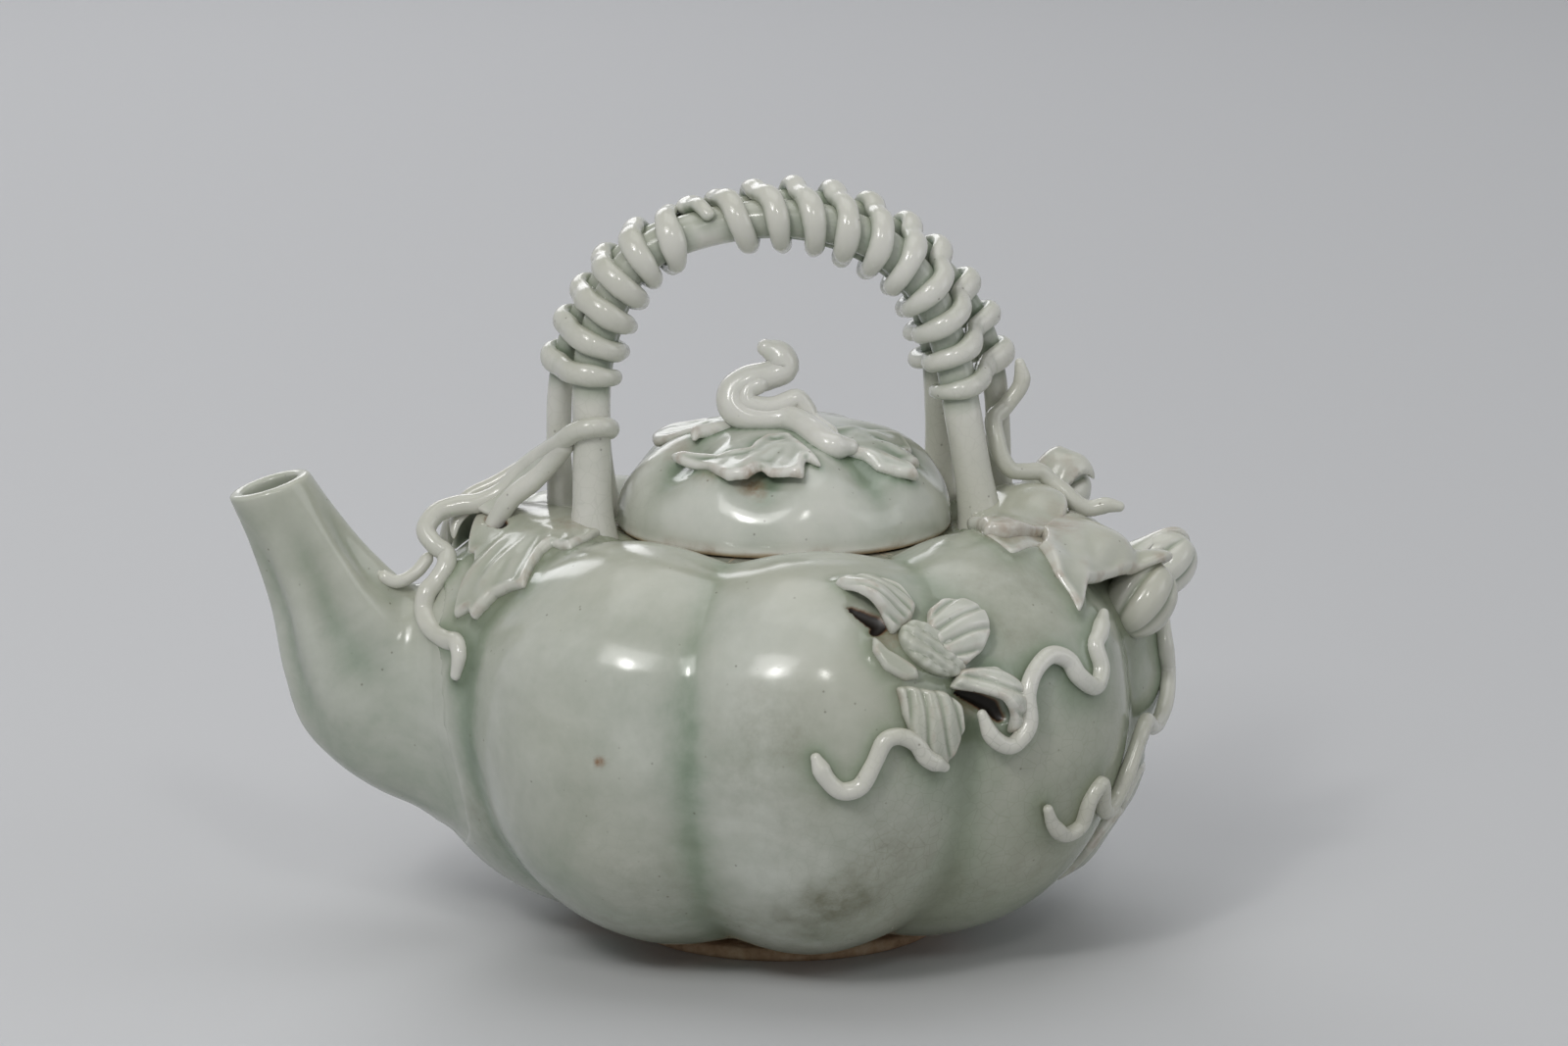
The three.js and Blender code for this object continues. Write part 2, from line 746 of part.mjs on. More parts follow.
const shoulderLeafFrontShares = [
  [191, 0.972, 195, 0.8, 0.95, 0],
  [191, 0.97, 203.5, 0.892, 0.5, 0],
  [193, 0.92, 204.5, 0.765, 0.5, 0.2],
  [192, 0.92, 197, 0.693, 0.5, 0.2],
  [189, 0.92, 180.5, 0.745, 0.4, 0.3],
  [188, 0.965, 176, 0.84, 0.45, 0.3],
];
const shoulderLeafBackShares = [
  [168, 0.97, 166, 0.8, 0.9, 0.3],
  [168, 0.93, 178, 0.76, 0.5, 1.6],
  [164, 0.93, 158, 0.74, 0.5, 0.5],
  [164, 0.965, 148, 0.86, 0.5, 0.3],
];
const rearLeafFrontShares = [
  [344, 0.97, 334, 0.83, 0.8, 0],
  [344, 0.968, 313.5, 0.838, 0.5, 0],
  [342, 0.93, 318.5, 0.713, 0.55, 0],
  [345, 0.93, 342, 0.74, 0.6, 0.4],
];
const rearLeafBackShares = [
  [9, 0.97, 18, 0.72, 0.7, 0.3],
  [12, 0.965, 38, 0.83, 0.55, 0],
];
const budLeafShares = [
  [352, 0.89, 352, 0.71, 0.8, 3.1],
  [350, 0.88, 341, 0.72, 0.5, 1.9],
  [354, 0.87, 354, 0.665, 0.6, 3.6],
  [356, 0.87, 4, 0.66, 0.6, 3.8],
];
const lowLeafOneShares = [[351, 0.32, 336, 0.2, 0.6, 0.4]];
const lowLeafTwoShares = [[353, 0.39, 349, 0.31, 0.4, 0]];

const flowerVineShares = [
  [323, 0.692], [318.5, 0.667], [316.5, 0.654], [316.5, 0.621], [314.5, 0.6], [311, 0.621],
  [309.5, 0.646], [306.5, 0.658], [303, 0.642], [301, 0.613], [300.5, 0.567], [297.5, 0.542],
  [294.5, 0.558], [293, 0.592],
];
const flowerTendrilShares = [
  [286, 0.525], [283, 0.542], [281.5, 0.563], [279, 0.575], [277, 0.571], [275, 0.537],
  [273, 0.508], [270.5, 0.504], [268.5, 0.521], [267, 0.55],
];
const lowVineShares = [
  [305.5, 0.433], [307.5, 0.404], [311, 0.383], [314, 0.392], [314.5, 0.433], [316.5, 0.454],
  [319, 0.429], [320, 0.396], [325, 0.375], [345, 0.3], [346, 0.329], [344, 0.396],
  [347, 0.442], [353, 0.46], [354, 0.5], [350, 0.54], [351, 0.58], [354, 0.62],
];
const shoulderVineShares = [
  [-0.562, -0.125, 1.208], [-0.595, -0.08, 1.176], [-0.635, -0.014, 1.136],
  [-0.685, 0.03, 1.094], [-0.734, 0.04, 1.046], [-0.795, 0.04, 1.019], [-0.854, 0.04, 1.013],
  [-0.907, 0.03, 0.999], [-0.939, 0, 0.964], [-0.919, -0.03, 0.935], [-0.892, -0.04, 0.916],
  [-0.892, -0.068, 0.892], [-0.919, -0.08, 0.857], [-0.946, -0.095, 0.834],
  [-0.954, -0.108, 0.796], [-0.939, -0.162, 0.763], [-0.904, -0.23, 0.75],
  [-0.881, -0.284, 0.751], [-0.878, -0.31, 0.728], [-0.888, -0.31, 0.684],
];
const spoutVineShares = [
  [-1.062, -0.03, 0.869], [-1.02, -0.045, 0.853], [-0.97, -0.04, 0.872], [-0.93, -0.02, 0.91],
];
const budVineShares = [
  [0.63, 0.04, 1.317], [0.635, 0.04, 1.271], [0.588, 0.027, 1.216], [0.555, 0, 1.194],
  [0.557, -0.027, 1.151], [0.57, -0.04, 1.108], [0.595, -0.04, 1.078], [0.636, -0.027, 1.07],
  [0.678, -0.014, 1.066], [0.703, -0.014, 1.046], [0.735, -0.027, 1.022], [0.769, -0.04, 0.994],
  [0.803, -0.04, 0.981], [0.851, -0.04, 0.987], [0.884, -0.04, 0.983],
];

const budPlaces = [
  { angle: 343.5, share: 0.678, heading: 60, size: 1, raise: 0.35 },
  { angle: 3, share: 0.665, heading: 75, size: 0.92, raise: 0.9 },
  { angle: 12.5, share: 0.82, heading: 20, size: 0.92, raise: 0.55 },
];

const lidLeafFrontShares = [
  [252, 0.78, 198, 0.425, 0.5, 0.6],
  [252, 0.78, 243, 0.358, 0.6, 0.7],
  [254, 0.78, 271, 0.358, 0.6, 0.7],
  [260, 0.76, 285, 0.48, 0.4, 0.3],
];
const lidLeafLeftShares = [
  [180, 0.83, 169, 0.41, 0.42, 0.15],
  [186, 0.83, 195, 0.5, 0.4, 0.2],
];
const lidLeafRightShares = [
  [306, 0.63, 324, 0.262, 0.5, 0.2],
  [315, 0.7, 349, 0.34, 0.5, 0.3],
  [330, 0.78, 356, 0.5, 0.36, 0],
];

// Paths of the two strands of the lid's stem: shares of the lid's radius twice, then of its rise.
const lidStemShares = [
  [-0.108, 0, 0.993], [-0.04, 0, 0.9], [-0.002, -0.015, 0.718], [-0.105, -0.03, 0.614],
  [-0.232, -0.046, 0.557], [-0.316, -0.062, 0.414], [-0.328, -0.093, 0.25],
  [-0.26, -0.124, 0.1], [-0.121, -0.155, 0.05], [-0.006, -0.186, 0.07], [0.068, -0.263, 0.03],
  [0.13, -0.402, -0.057], [0.2, -0.526, -0.157], [0.325, -0.508, -0.193],
];
const lidStrandShares = [
  [-0.111, -0.068, 0.579], [-0.164, -0.087, 0.529], [-0.232, -0.102, 0.443],
  [-0.238, -0.124, 0.3], [-0.164, -0.142, 0.236], [-0.077, -0.155, 0.236], [0, -0.155, 0.3],
  [0.059, -0.155, 0.343], [0.105, -0.155, 0.214], [0.136, -0.173, 0.057],
  [0.186, -0.294, -0.029], [0.248, -0.418, -0.1],
];

function lidStrand(shares, radius, steps, grow) {
  const top = lidBase + lidRise;
  const points = shares.map(
    ([x, y, z]) => new THREE.Vector3(x * lidRadius, y * lidRadius, top + z * finialRise),
  );
  return vine(points, radius, steps, grow);
}

// Assembly

const kettle = new THREE.Group();

function add(name, solid, look) {
  const mesh = new THREE.Mesh(toGeometry(solid), new THREE.MeshStandardMaterial(look));
  mesh.name = name;
  kettle.add(mesh);
}

// Pieces laid on so far, each grown by the seat gap: what is laid on later is cut by them.
const laid = stems.map((each) => stem(each, seatGap));
laid.push(loft(spoutRings(-seatGap, 0, 12)));

function lay(name, build, keepOut) {
  let solid = build(0).subtract(keepOut);
  laid.forEach((grown) => (solid = solid.subtract(grown)));
  add(name, largest(solid), glaze);
  laid.push(build(seatGap));
}

add("body_shell", bodyShell(), glaze);
add("foot_disc", footDisc(), biscuit);
add("spout", spout(), glaze);
["front", "back", "outer"].forEach((side, i) => {
  let solid = stem(stems[i]).subtract(bodyKeepOut);
  laid.slice(0, i).forEach((other) => (solid = solid.subtract(other)));
  add("handle_stem_" + side, largest(solid), glaze);
});
add("handle_tendril_left", clearOfStems(leftTendril()), glaze);
add("handle_tendril_right", clearOfStems(rightTendril()), glaze);

const space = (shares) => shares.map(spacePoint);
budPlaces.forEach((place, i) => {
  lay("melon_bud_" + (i + 1), (grow) => melonBud(place, grow), bodyKeepOut);
});
lay("flower_centre", flowerCentre, bodyKeepOut);
petalShares.forEach((shares, i) => {
  lay("flower_petal_" + (i + 1), (grow) => petal(shares, grow), bodyKeepOut);
});
Object.entries({
  shoulder_leaf_front: shoulderLeafFrontShares,
  shoulder_leaf_back: shoulderLeafBackShares,
  rear_leaf_front: rearLeafFrontShares,
  rear_leaf_back: rearLeafBackShares,
  bud_leaf: budLeafShares,
  low_leaf_1: lowLeafOneShares,
  low_leaf_2: lowLeafTwoShares,
}).forEach(([name, shares]) => {
  lay(name, (grow) => leaf(bodySkin, shares, grow), bodyKeepOut);
});
Object.entries({
  flower_vine: [flowerVineShares, vineRadius],
  flower_tendril: [flowerTendrilShares, vineRadius],
  low_vine: [lowVineShares, fineVineRadius],
}).forEach(([name, [shares, radius]]) => {
  lay(name, (grow) => creeper(shares, radius, grow), bodyKeepOut);
});
Object.entries({
  shoulder_vine: [shoulderVineShares, vineRadius],
  spout_vine: [spoutVineShares, fineVineRadius],
  bud_vine: [budVineShares, vineRadius],
}).forEach(([name, [shares, radius]]) => {
  const steps = Math.round(1.6 * shares.length);
  lay(name, (grow) => vine(space(shares), radius, steps, grow), bodyKeepOut);
});

add("lid_dome", lidDome(), glaze);
lay("lid_stem", (grow) => lidStrand(lidStemShares, finialRadius, 24, grow), lidKeepOut);
lay("lid_stem_strand", (grow) => lidStrand(lidStrandShares, finialStrandRadius, 18, grow), lidKeepOut);
lay("lid_leaf_front", (grow) => leaf(lidSkin, lidLeafFrontShares, grow), lidKeepOut);
lay("lid_leaf_left", (grow) => leaf(lidSkin, lidLeafLeftShares, grow), lidKeepOut);
lay("lid_leaf_right", (grow) => leaf(lidSkin, lidLeafRightShares, grow), lidKeepOut);

export default kettle;
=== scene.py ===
"""Celadon kettle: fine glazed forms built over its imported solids, in millimetres, then scaled."""

import math

import bpy
import numpy as np
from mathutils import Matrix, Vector, kdtree, noise


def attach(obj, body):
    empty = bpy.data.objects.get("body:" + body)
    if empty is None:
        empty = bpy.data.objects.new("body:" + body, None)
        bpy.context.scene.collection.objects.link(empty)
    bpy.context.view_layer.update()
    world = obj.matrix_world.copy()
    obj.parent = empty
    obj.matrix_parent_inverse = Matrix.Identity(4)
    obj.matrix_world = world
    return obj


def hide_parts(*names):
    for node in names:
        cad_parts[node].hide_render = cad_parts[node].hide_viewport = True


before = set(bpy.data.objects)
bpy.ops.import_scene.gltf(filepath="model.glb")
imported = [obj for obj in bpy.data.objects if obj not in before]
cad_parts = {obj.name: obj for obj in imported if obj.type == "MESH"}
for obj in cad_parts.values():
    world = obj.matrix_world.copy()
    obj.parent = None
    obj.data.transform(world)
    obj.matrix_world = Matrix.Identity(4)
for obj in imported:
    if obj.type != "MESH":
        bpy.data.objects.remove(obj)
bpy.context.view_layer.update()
MM = 0.001
FINE = 1.0
RAD = math.pi / 180

# Sizes of the solids that the fine forms follow
BODY_RADIUS = 74.0
SHOULDER = 83.0
WALL = 4.0
LOBES = 8
FOOT_RADIUS = 31.0
FOOT_HEIGHT = 2.6
MOUTH_RADIUS = 25.4
LEDGE_RADIUS = 31.0
LEDGE = 78.9
LIP_DEPTH = 4.5
GAP = 0.3
LID_RADIUS = 32.3
LID_RISE = 21.0
LID_WALL = 3.0
LID_TURN = 7.0
FLANGE_DEPTH = 6.3
FLANGE_RADIUS = 24.2
FLANGE_BORE = 21.6
LID_BASE = LEDGE + GAP
SPOUT_WALL = 2.6
PORT_RADIUS = 5.5
PORT_HEIGHT = 45.0
SPOUT_WIDTH = 12.0
SPREAD = 38.0
SEAT = 80.0
RISE = 60.0
STEM_RADII = (3.6, 2.8, 2.4)
STRAND_WIDTH = 4.1
STRAND_THICKNESS = 2.0
LEAF_SEAT = 0.6
BUD_RADIUS = 6.8
FLOWER_RADIUS = 7.2
FLOWER_HEIGHT = 2.6
FINIAL_RISE = 14.0

# Sizes that only the fine forms have
SPOUT_FILLET = 7.5
SPOUT_RIB = 1.9
SPOUT_SKIRT = 4.0
SKIRT_SINK = 1.3
BODY_VALLEY = 5.0
LID_VALLEY = 2.4
FOOT_RECESS = 0.35
FLANGE_EDGE = 0.4
FLOWER_ASPECT = 0.68
FLOWER_ROW = 2.5
FLOWER_BEAD = 2.6
PETAL_THICKNESS = 2.3
PETAL_RIDGE = 0.3
LID_LEAF_RIDGE = 0.5
WEB_THICKNESS = 0.8
HOLE_DEPTH = 1.4
LEAF_HOLE_DEPTH = 1.2
FILLET_HEIGHT = 0.6
FILLET_REACH = 1.4


def count(n):
    return max(6, int(round(n * FINE)))


def unit(v):
    return v / np.maximum(np.linalg.norm(v, axis=-1, keepdims=True), 1e-12)


def bell(x):
    return np.exp(-(x**2))


def turns(n):
    """Angles of even steps round a circle."""
    return np.linspace(0, 2 * math.pi, n, endpoint=False)


def circle(turn, radius, height):
    return np.stack([radius * np.cos(turn), radius * np.sin(turn), height + 0 * turn], -1)[None]


# Curves


def flat_spline(points, n):
    """A uniform spline through flat points, as n fine points."""
    p = np.asarray(points, float)
    last = len(p) - 1
    t = np.linspace(0, last, n)
    i = np.minimum(t.astype(int), last - 1)
    w = (t - i)[:, None]
    p0, p1, p2, p3 = p[np.maximum(i - 1, 0)], p[i], p[i + 1], p[np.minimum(i + 2, last)]
    v0, v1 = (p2 - p0) / 2, (p3 - p1) / 2
    return (2 * p1 - 2 * p2 + v0 + v1) * w**3 + (-3 * p1 + 3 * p2 - 2 * v0 - v1) * w**2 + v0 * w + p1


class Curve:
    """A centripetal spline through points in space."""

    def __init__(self, points):
        p = np.asarray(points, float)
        n = len(p)
        e = np.vstack([2 * p[0] - p[1], p, 2 * p[-1] - p[-2]])
        t = np.linspace(0, n - 1, 80 * (n - 1) + 1)
        i = np.minimum(t.astype(int), n - 2)
        w = (t - i)[:, None]
        x0, x1, x2, x3 = e[i], e[i + 1], e[i + 2], e[i + 3]
        pairs = ((x0, x1), (x1, x2), (x2, x3))
        d0, d1, d2 = (np.maximum(((b - a) ** 2).sum(1) ** 0.25, 1e-4)[:, None] for a, b in pairs)
        t1 = ((x1 - x0) / d0 - (x2 - x0) / (d0 + d1) + (x2 - x1) / d1) * d1
        t2 = ((x2 - x1) / d1 - (x3 - x1) / (d1 + d2) + (x3 - x2) / d2) * d1
        self.fine = x1 + t1 * w + (-3 * x1 + 3 * x2 - 2 * t1 - t2) * w**2 + (2 * x1 - 2 * x2 + t1 + t2) * w**3
        length = np.r_[0, np.cumsum(np.linalg.norm(np.diff(self.fine, axis=0), axis=1))]
        self.length = length[-1]
        self.share = length / length[-1]
        self.even = t / (n - 1)

    def at(self, share):
        return np.stack([np.interp(share, self.share, self.fine[:, k]) for k in range(3)], -1)

    def raw(self, share):
        return np.stack([np.interp(share, self.even, self.fine[:, k]) for k in range(3)], -1)

    def tangent(self, share):
        return unit(self.at(np.minimum(share + 0.004, 1)) - self.at(np.maximum(share - 0.004, 0)))


# The lobed skins


def valley(angle, sharp):
    across = np.abs(np.cos(LOBES / 2 * angle * RAD))
    return 1 - (np.hypot(across, sharp) - sharp) / (math.hypot(1, sharp) - sharp)


class Skin:
    """A profile turned round z, with valleys between lobes; places on it are an angle and a share."""

    def __init__(self, profile, depth, sharp, fade, turn):
        fine = flat_spline(profile, 3001)
        length = np.r_[0, np.cumsum(np.linalg.norm(np.diff(fine, axis=0), axis=1))]
        self.length = length[-1]
        self.share = length / length[-1]
        self.fine = fine
        self.slope = unit(np.gradient(fine, axis=0))
        self.depth, self.sharp, self.fade, self.turn = depth, sharp, fade, turn
        self.scan = np.linspace(0, 1, 161)

    def section(self, angle, share, lift=0.0, bridge=0.0):
        t = np.clip(share, 0, 1)
        r, z = (np.interp(t, self.share, self.fine[:, k]) for k in range(2))
        sr, sz = (np.interp(t, self.share, self.slope[:, k]) for k in range(2))
        out = lift - self.depth * self.fade(t) * valley(angle - self.turn, self.sharp) * (1 - bridge)
        return r + sz * out, z - sr * out

    def at(self, angle, share, lift=0.0, bridge=0.0):
        r, z = self.section(angle, share, lift, bridge)
        return np.stack([r * np.cos(angle * RAD), r * np.sin(angle * RAD), z + 0 * angle], -1)

    def normal(self, angle, share):
        angle, share = np.broadcast_arrays(np.asarray(angle, float), np.asarray(share, float))
        around = self.at(angle + 1, share) - self.at(angle - 1, share)
        up = self.at(angle, np.minimum(1, share + 0.01)) - self.at(angle, share - 0.01)
        return unit(np.cross(around, up))

    def onto(self, points):
        """Angle, share and height over the skin of the places nearest to points."""
        flat = points.reshape(-1, 3)
        angle = np.degrees(np.arctan2(flat[:, 1], flat[:, 0]))
        reach = np.hypot(flat[:, 0], flat[:, 1])
        share = np.zeros(len(flat))
        for a in range(0, len(flat), 20000):
            b = slice(a, a + 20000)
            r, z = self.section(angle[b, None], self.scan[None, :])
            share[b] = self.scan[np.argmin((r - reach[b, None]) ** 2 + (z - flat[b, 2, None]) ** 2, axis=1)]
        step = 1 / 320
        while step > 1e-4:
            tries = np.clip(share[:, None] + np.array([-step, 0, step]), 0, 1)
            r, z = self.section(angle[:, None], tries)
            best = np.argmin((r - reach[:, None]) ** 2 + (z - flat[:, 2, None]) ** 2, axis=1)
            share = tries[np.arange(len(flat)), best]
            step /= 2
        shape = points.shape[:-1]
        height = ((flat - self.at(angle, share)) * self.normal(angle, share)).sum(1)
        return angle.reshape(shape), share.reshape(shape), height.reshape(shape)

    def flat(self, angle, share, middle):
        """Places unrolled round a middle angle, in millimetres."""
        reach = np.interp(share, self.share, self.fine[:, 0])
        angle, share = np.broadcast_arrays(angle, share)
        return np.stack([(angle - middle) * RAD * reach, share * self.length], -1)

    def walk(self, place, along, side, lift):
        """A point reached from a place with a heading, by steps along and to the side, and lifted."""
        angle, share, heading = place
        east = along * math.cos(heading * RAD) - side * math.sin(heading * RAD)
        up = along * math.sin(heading * RAD) + side * math.cos(heading * RAD)
        there = share + up / self.length
        middle = self.section(angle, (there + share) / 2)[0]
        turned = angle + east / middle / RAD
        return self.at(turned, there) + self.normal(turned, there) * np.asarray(lift)[..., None]


def scaled(table, *units):
    return np.asarray(table, float) * np.asarray(units)


body_skin = Skin(
    scaled([[0.42, 0.035], [0.57, 0.058], [0.757, 0.139], [0.9, 0.277], [0.98, 0.458], [1, 0.602],
            [0.953, 0.795], [0.825, 0.928], [0.703, 0.985], [0.595, 1], [0.514, 0.988], [0.458, 0.964]],
           BODY_RADIUS, SHOULDER),
    BODY_VALLEY, 0.16, lambda t: 0.35 + 0.65 * np.maximum(0, np.sin(math.pi * t)) ** 0.8, 0.0)
lid_skin = Skin(
    scaled([[1, 0.05], [1, 0.18], [0.978, 0.35], [0.93, 0.51], [0.84, 0.68], [0.67, 0.85], [0.43, 0.955],
            [0.19, 0.99], [0.02, 1]], LID_RADIUS, LID_RISE) + [0, LID_BASE],
    LID_VALLEY, 0.6, lambda t: np.sin(math.pi * np.clip((t - 0.06) / 0.74, 0, 1)) ** 2, LID_TURN)


# Meshes as points and faces; a face of three ends in -1


def lattice(points, start=False, end=False):
    """Faces between rows of points that each close on themselves, with a fan at the ends wanted."""
    rows, sides = points.shape[:2]
    ids = np.arange(rows * sides).reshape(rows, sides)
    nxt = np.roll(ids, -1, 1)
    quads = np.stack([ids[:-1], nxt[:-1], nxt[1:], ids[1:]], -1)
    verts, faces = [points.reshape(-1, 3)], [quads.reshape(-1, 4)]
    total = rows * sides
    for wanted, row, flip in ((start, 0, True), (end, rows - 1, False)):
        if not wanted:
            continue
        verts.append(points[row].mean(0)[None])
        a, b = (nxt[row], ids[row]) if flip else (ids[row], nxt[row])
        faces.append(np.stack([a, b, np.full(sides, total), np.full(sides, -1)], -1))
        total += 1
    return np.concatenate(verts), np.concatenate(faces)


def joined(parts):
    verts, faces, at = [], [], 0
    for v, f in parts:
        verts.append(v)
        faces.append(np.where(f < 0, -1, f + at))
        at += len(v)
    return np.concatenate(verts), np.concatenate(faces)


def outward(verts, faces):
    """The same mesh with its faces turned so that it holds a positive volume."""
    tri = [faces[:, [0, 1, 2]], faces[faces[:, 3] >= 0][:, [0, 2, 3]]]
    t = verts[np.concatenate(tri)] - verts.mean(0)
    if np.einsum("ij,ij->i", t[:, 0], np.cross(t[:, 1], t[:, 2])).sum() >= 0:
        return verts, faces
    turned = faces[:, ::-1].copy()
    three = faces[:, 3] < 0
    turned[three] = np.c_[faces[three][:, [2, 1, 0]], np.full(three.sum(), -1)]
    return verts, turned


def edges_of(faces):
    four = faces[:, 3] >= 0
    q, t = faces[four], faces[~four]
    sides = [q[:, [k, (k + 1) % 4]] for k in range(4)] + [t[:, [k, (k + 1) % 3]] for k in range(3)]
    pairs = np.concatenate(sides)
    pairs.sort(axis=1)
    return np.unique(pairs, axis=0)


def relax(verts, edges, rounds):
    """Points drawn some rounds halfway to the mean of their neighbours."""
    n = len(verts)
    a, b = edges.T
    degree = np.maximum(np.bincount(edges.ravel(), minlength=n), 1)
    out = verts.copy()
    for _ in range(rounds):
        for k in range(3):
            total = np.bincount(a, out[b, k], n) + np.bincount(b, out[a, k], n)
            out[:, k] += 0.5 * (total / degree - out[:, k])
    return out


def normals_of(verts, faces):
    third = np.where(faces[:, 3] < 0, faces[:, 2], faces[:, 3])
    across = np.cross(verts[faces[:, 2]] - verts[faces[:, 0]], verts[third] - verts[faces[:, 1]])
    total = np.zeros_like(verts)
    for k in range(3):
        for c in range(4):
            ids = np.where(faces[:, c] < 0, faces[:, 0], faces[:, c])
            total[:, k] += np.bincount(ids, across[:, k], len(verts))
    return unit(total)


def mesh_object(name, verts, faces):
    mesh = bpy.data.meshes.new(name)
    sizes = np.where(faces[:, 3] < 0, 3, 4)
    loops = faces[faces >= 0]
    mesh.vertices.add(len(verts))
    mesh.vertices.foreach_set("co", np.asarray(verts, np.float32).ravel())
    mesh.loops.add(len(loops))
    mesh.loops.foreach_set("vertex_index", loops.astype(np.int32))
    mesh.polygons.add(len(faces))
    mesh.polygons.foreach_set("loop_start", np.r_[0, np.cumsum(sizes)[:-1]].astype(np.int32))
    mesh.update(calc_edges=True)
    mesh.validate()
    obj = bpy.data.objects.new(name, mesh)
    bpy.context.scene.collection.objects.link(obj)
    return obj


def lumps(points, size, seed):
    """Smooth noise from -1 to 1 at points, with lumps of a size in millimetres."""
    shift = Vector((seed, seed * 0.7, -seed))
    values = [noise.noise(Vector(p) / size + shift) for p in points.reshape(-1, 3)]
    return np.array(values).reshape(points.shape[:-1])


def rope(centres, side, out, half, thick, sides=18, power=2.0, rounded=True):
    """A strand through centres: half widths to the side and thicknesses outward, with round ends."""
    turn = turns(sides)
    c, s = np.cos(turn), np.sin(turn)
    a = np.sign(c) * np.abs(c) ** (2 / power)
    b = np.sign(s) * np.abs(s) ** (2 / power)
    along = unit(np.gradient(centres, axis=0))
    wall = (centres[:, None] + side[:, None] * (half[:, None] * a)[..., None]
            + out[:, None] * (thick[:, None] * b)[..., None])
    rows = [wall]
    lean = np.array([75, 58, 40, 20]) * RAD
    for at, sign in ((0, -1), (-1, 1)) if rounded else ():
        caps = [centres[at] + along[at] * sign * math.sin(k) * min(half[at], thick[at])
                + (wall[at] - centres[at]) * math.cos(k) for k in lean]
        rows = [np.array(caps)] + rows if at == 0 else rows + [np.array(caps[::-1])]
    return outward(*lattice(np.concatenate(rows), True, True))


def carried(tangents, first):
    """Side directions carried along a path without twist."""
    out = np.zeros_like(tangents)
    u = first - tangents[0] * (first @ tangents[0])
    for i, t in enumerate(tangents):
        u = u - t * (u @ t)
        u /= max(np.linalg.norm(u), 1e-9)
        out[i] = u
    return out


def round_rope(curve, radius_at, spacing, sides, wobble, seed, rounded=True):
    """A round strand along a curve, with its radius as a function of the share along it."""
    share = np.linspace(0, 1, count(curve.length / spacing))
    centres, tangents = curve.at(share), curve.tangent(share)
    side = carried(tangents, np.array([0.12, 0.93, 0.35]))
    radius = radius_at(share) * (1 + wobble * lumps(centres, 5.0, seed))
    return rope(centres, side, np.cross(tangents, side), radius, radius, sides, rounded=rounded)


# Rounds of smoothing that find small and large relief on a piece, and the heights of both
BODY_RELIEF = ((4, 60), (0.06, 1.6))
LID_RELIEF = ((4, 50), (0.05, 0.9))
SPOUT_RELIEF = ((4, 40), (0.05, 0.9))
STEM_RELIEF = ((3, 22), (0.05, 0.5))
STRAND_RELIEF = ((3, 22), (0.05, 0.35))
BUD_RELIEF = ((2, 24), (0.03, 0.45))
FLOWER_RELIEF = ((2, 14), (0.04, 0.3))
PETAL_RELIEF = ((2, 12), (0.03, 0.25))
LEAF_RELIEF = ((2, 14), (0.03, 0.28))
made = {}


def keep(name, mesh, node, skin=None, relief=STRAND_RELIEF, body="kettle"):
    """Keep a piece with the CAD node that it replaces and the body that it rides on."""
    made[name] = {"mesh": mesh, "node": node, "skin": skin, "relief": relief, "body": body}


# Distances


def line_distance(points, start, end):
    along = end - start
    share = np.clip(((points - start) @ along) / max(along @ along, 1e-9), 0, 1)
    return np.linalg.norm(points - start - share[..., None] * along, axis=-1), share


def inside_distance(points, corners):
    """How deep points lie inside a flat outline; negative outside it."""
    least = np.full(points.shape[:-1], np.inf)
    inside = np.zeros(points.shape[:-1], bool)
    for a, b in zip(corners, np.roll(corners, -1, 0)):
        least = np.minimum(least, line_distance(points, a, b)[0])
        crosses = (a[1] > points[..., 1]) != (b[1] > points[..., 1])
        rise = b[1] - a[1] if abs(b[1] - a[1]) > 1e-9 else 1e-9
        inside ^= crosses & (points[..., 0] < a[0] + (points[..., 1] - a[1]) * (b[0] - a[0]) / rise)
    return np.where(inside, least, -least)


# Vessel


def swell_of(points):
    """The unevenness of the thrown wall."""
    return 0.35 * lumps(points, 34.0, 3.1) + 0.1 * lumps(points, 11.0, 8.4)


# From the mouth down: x and z of the lower and of the upper side, then the width, as shares
SPOUT_STATIONS = [
    [-1.445, 1.048, -1.236, 1.105, 0.64], [-1.394, 0.936, -1.18, 1.03, 0.66],
    [-1.345, 0.794, -1.112, 0.95, 0.71], [-1.312, 0.63, -1.05, 0.89, 0.79],
    [-1.269, 0.511, -0.98, 0.83, 0.88], [-1.178, 0.416, -0.9, 0.75, 0.96], [-1.06, 0.345, -0.83, 0.65, 1],
    [-0.94, 0.3, -0.78, 0.56, 1]]


def spout_rings(inset, share, sides):
    """Rings of the spout's wall at shares from its mouth, drawn in by an inset, and their middles."""
    table = np.array(SPOUT_STATIONS)
    zero = np.zeros(len(table))
    lower = Curve(np.stack([table[:, 0] * BODY_RADIUS, zero, table[:, 1] * SHOULDER], -1)).raw(share)
    upper = Curve(np.stack([table[:, 2] * BODY_RADIUS, zero, table[:, 3] * SHOULDER], -1)).raw(share)
    widths = flat_spline(np.stack([zero, table[:, 4] * SPOUT_WIDTH], -1), 2001)[:, 1]
    wide = np.interp(share, np.linspace(0, 1, 2001), widths)
    turn = turns(sides)
    centre = (lower + upper) / 2
    reach = np.linalg.norm(upper - lower, axis=1) / 2
    across = unit(upper - lower)
    rib = SPOUT_RIB * np.sin(math.pi * np.minimum(1, share * 1.3)) ** 2
    shrink = inset + rib[:, None] * (0.5 - 0.5 * np.cos(6 * turn))
    points = centre[:, None] + across[:, None] * ((reach[:, None] - shrink) * np.cos(turn))[..., None]
    points[..., 1] += (wide[:, None] - shrink) * np.sin(turn)
    return points, centre


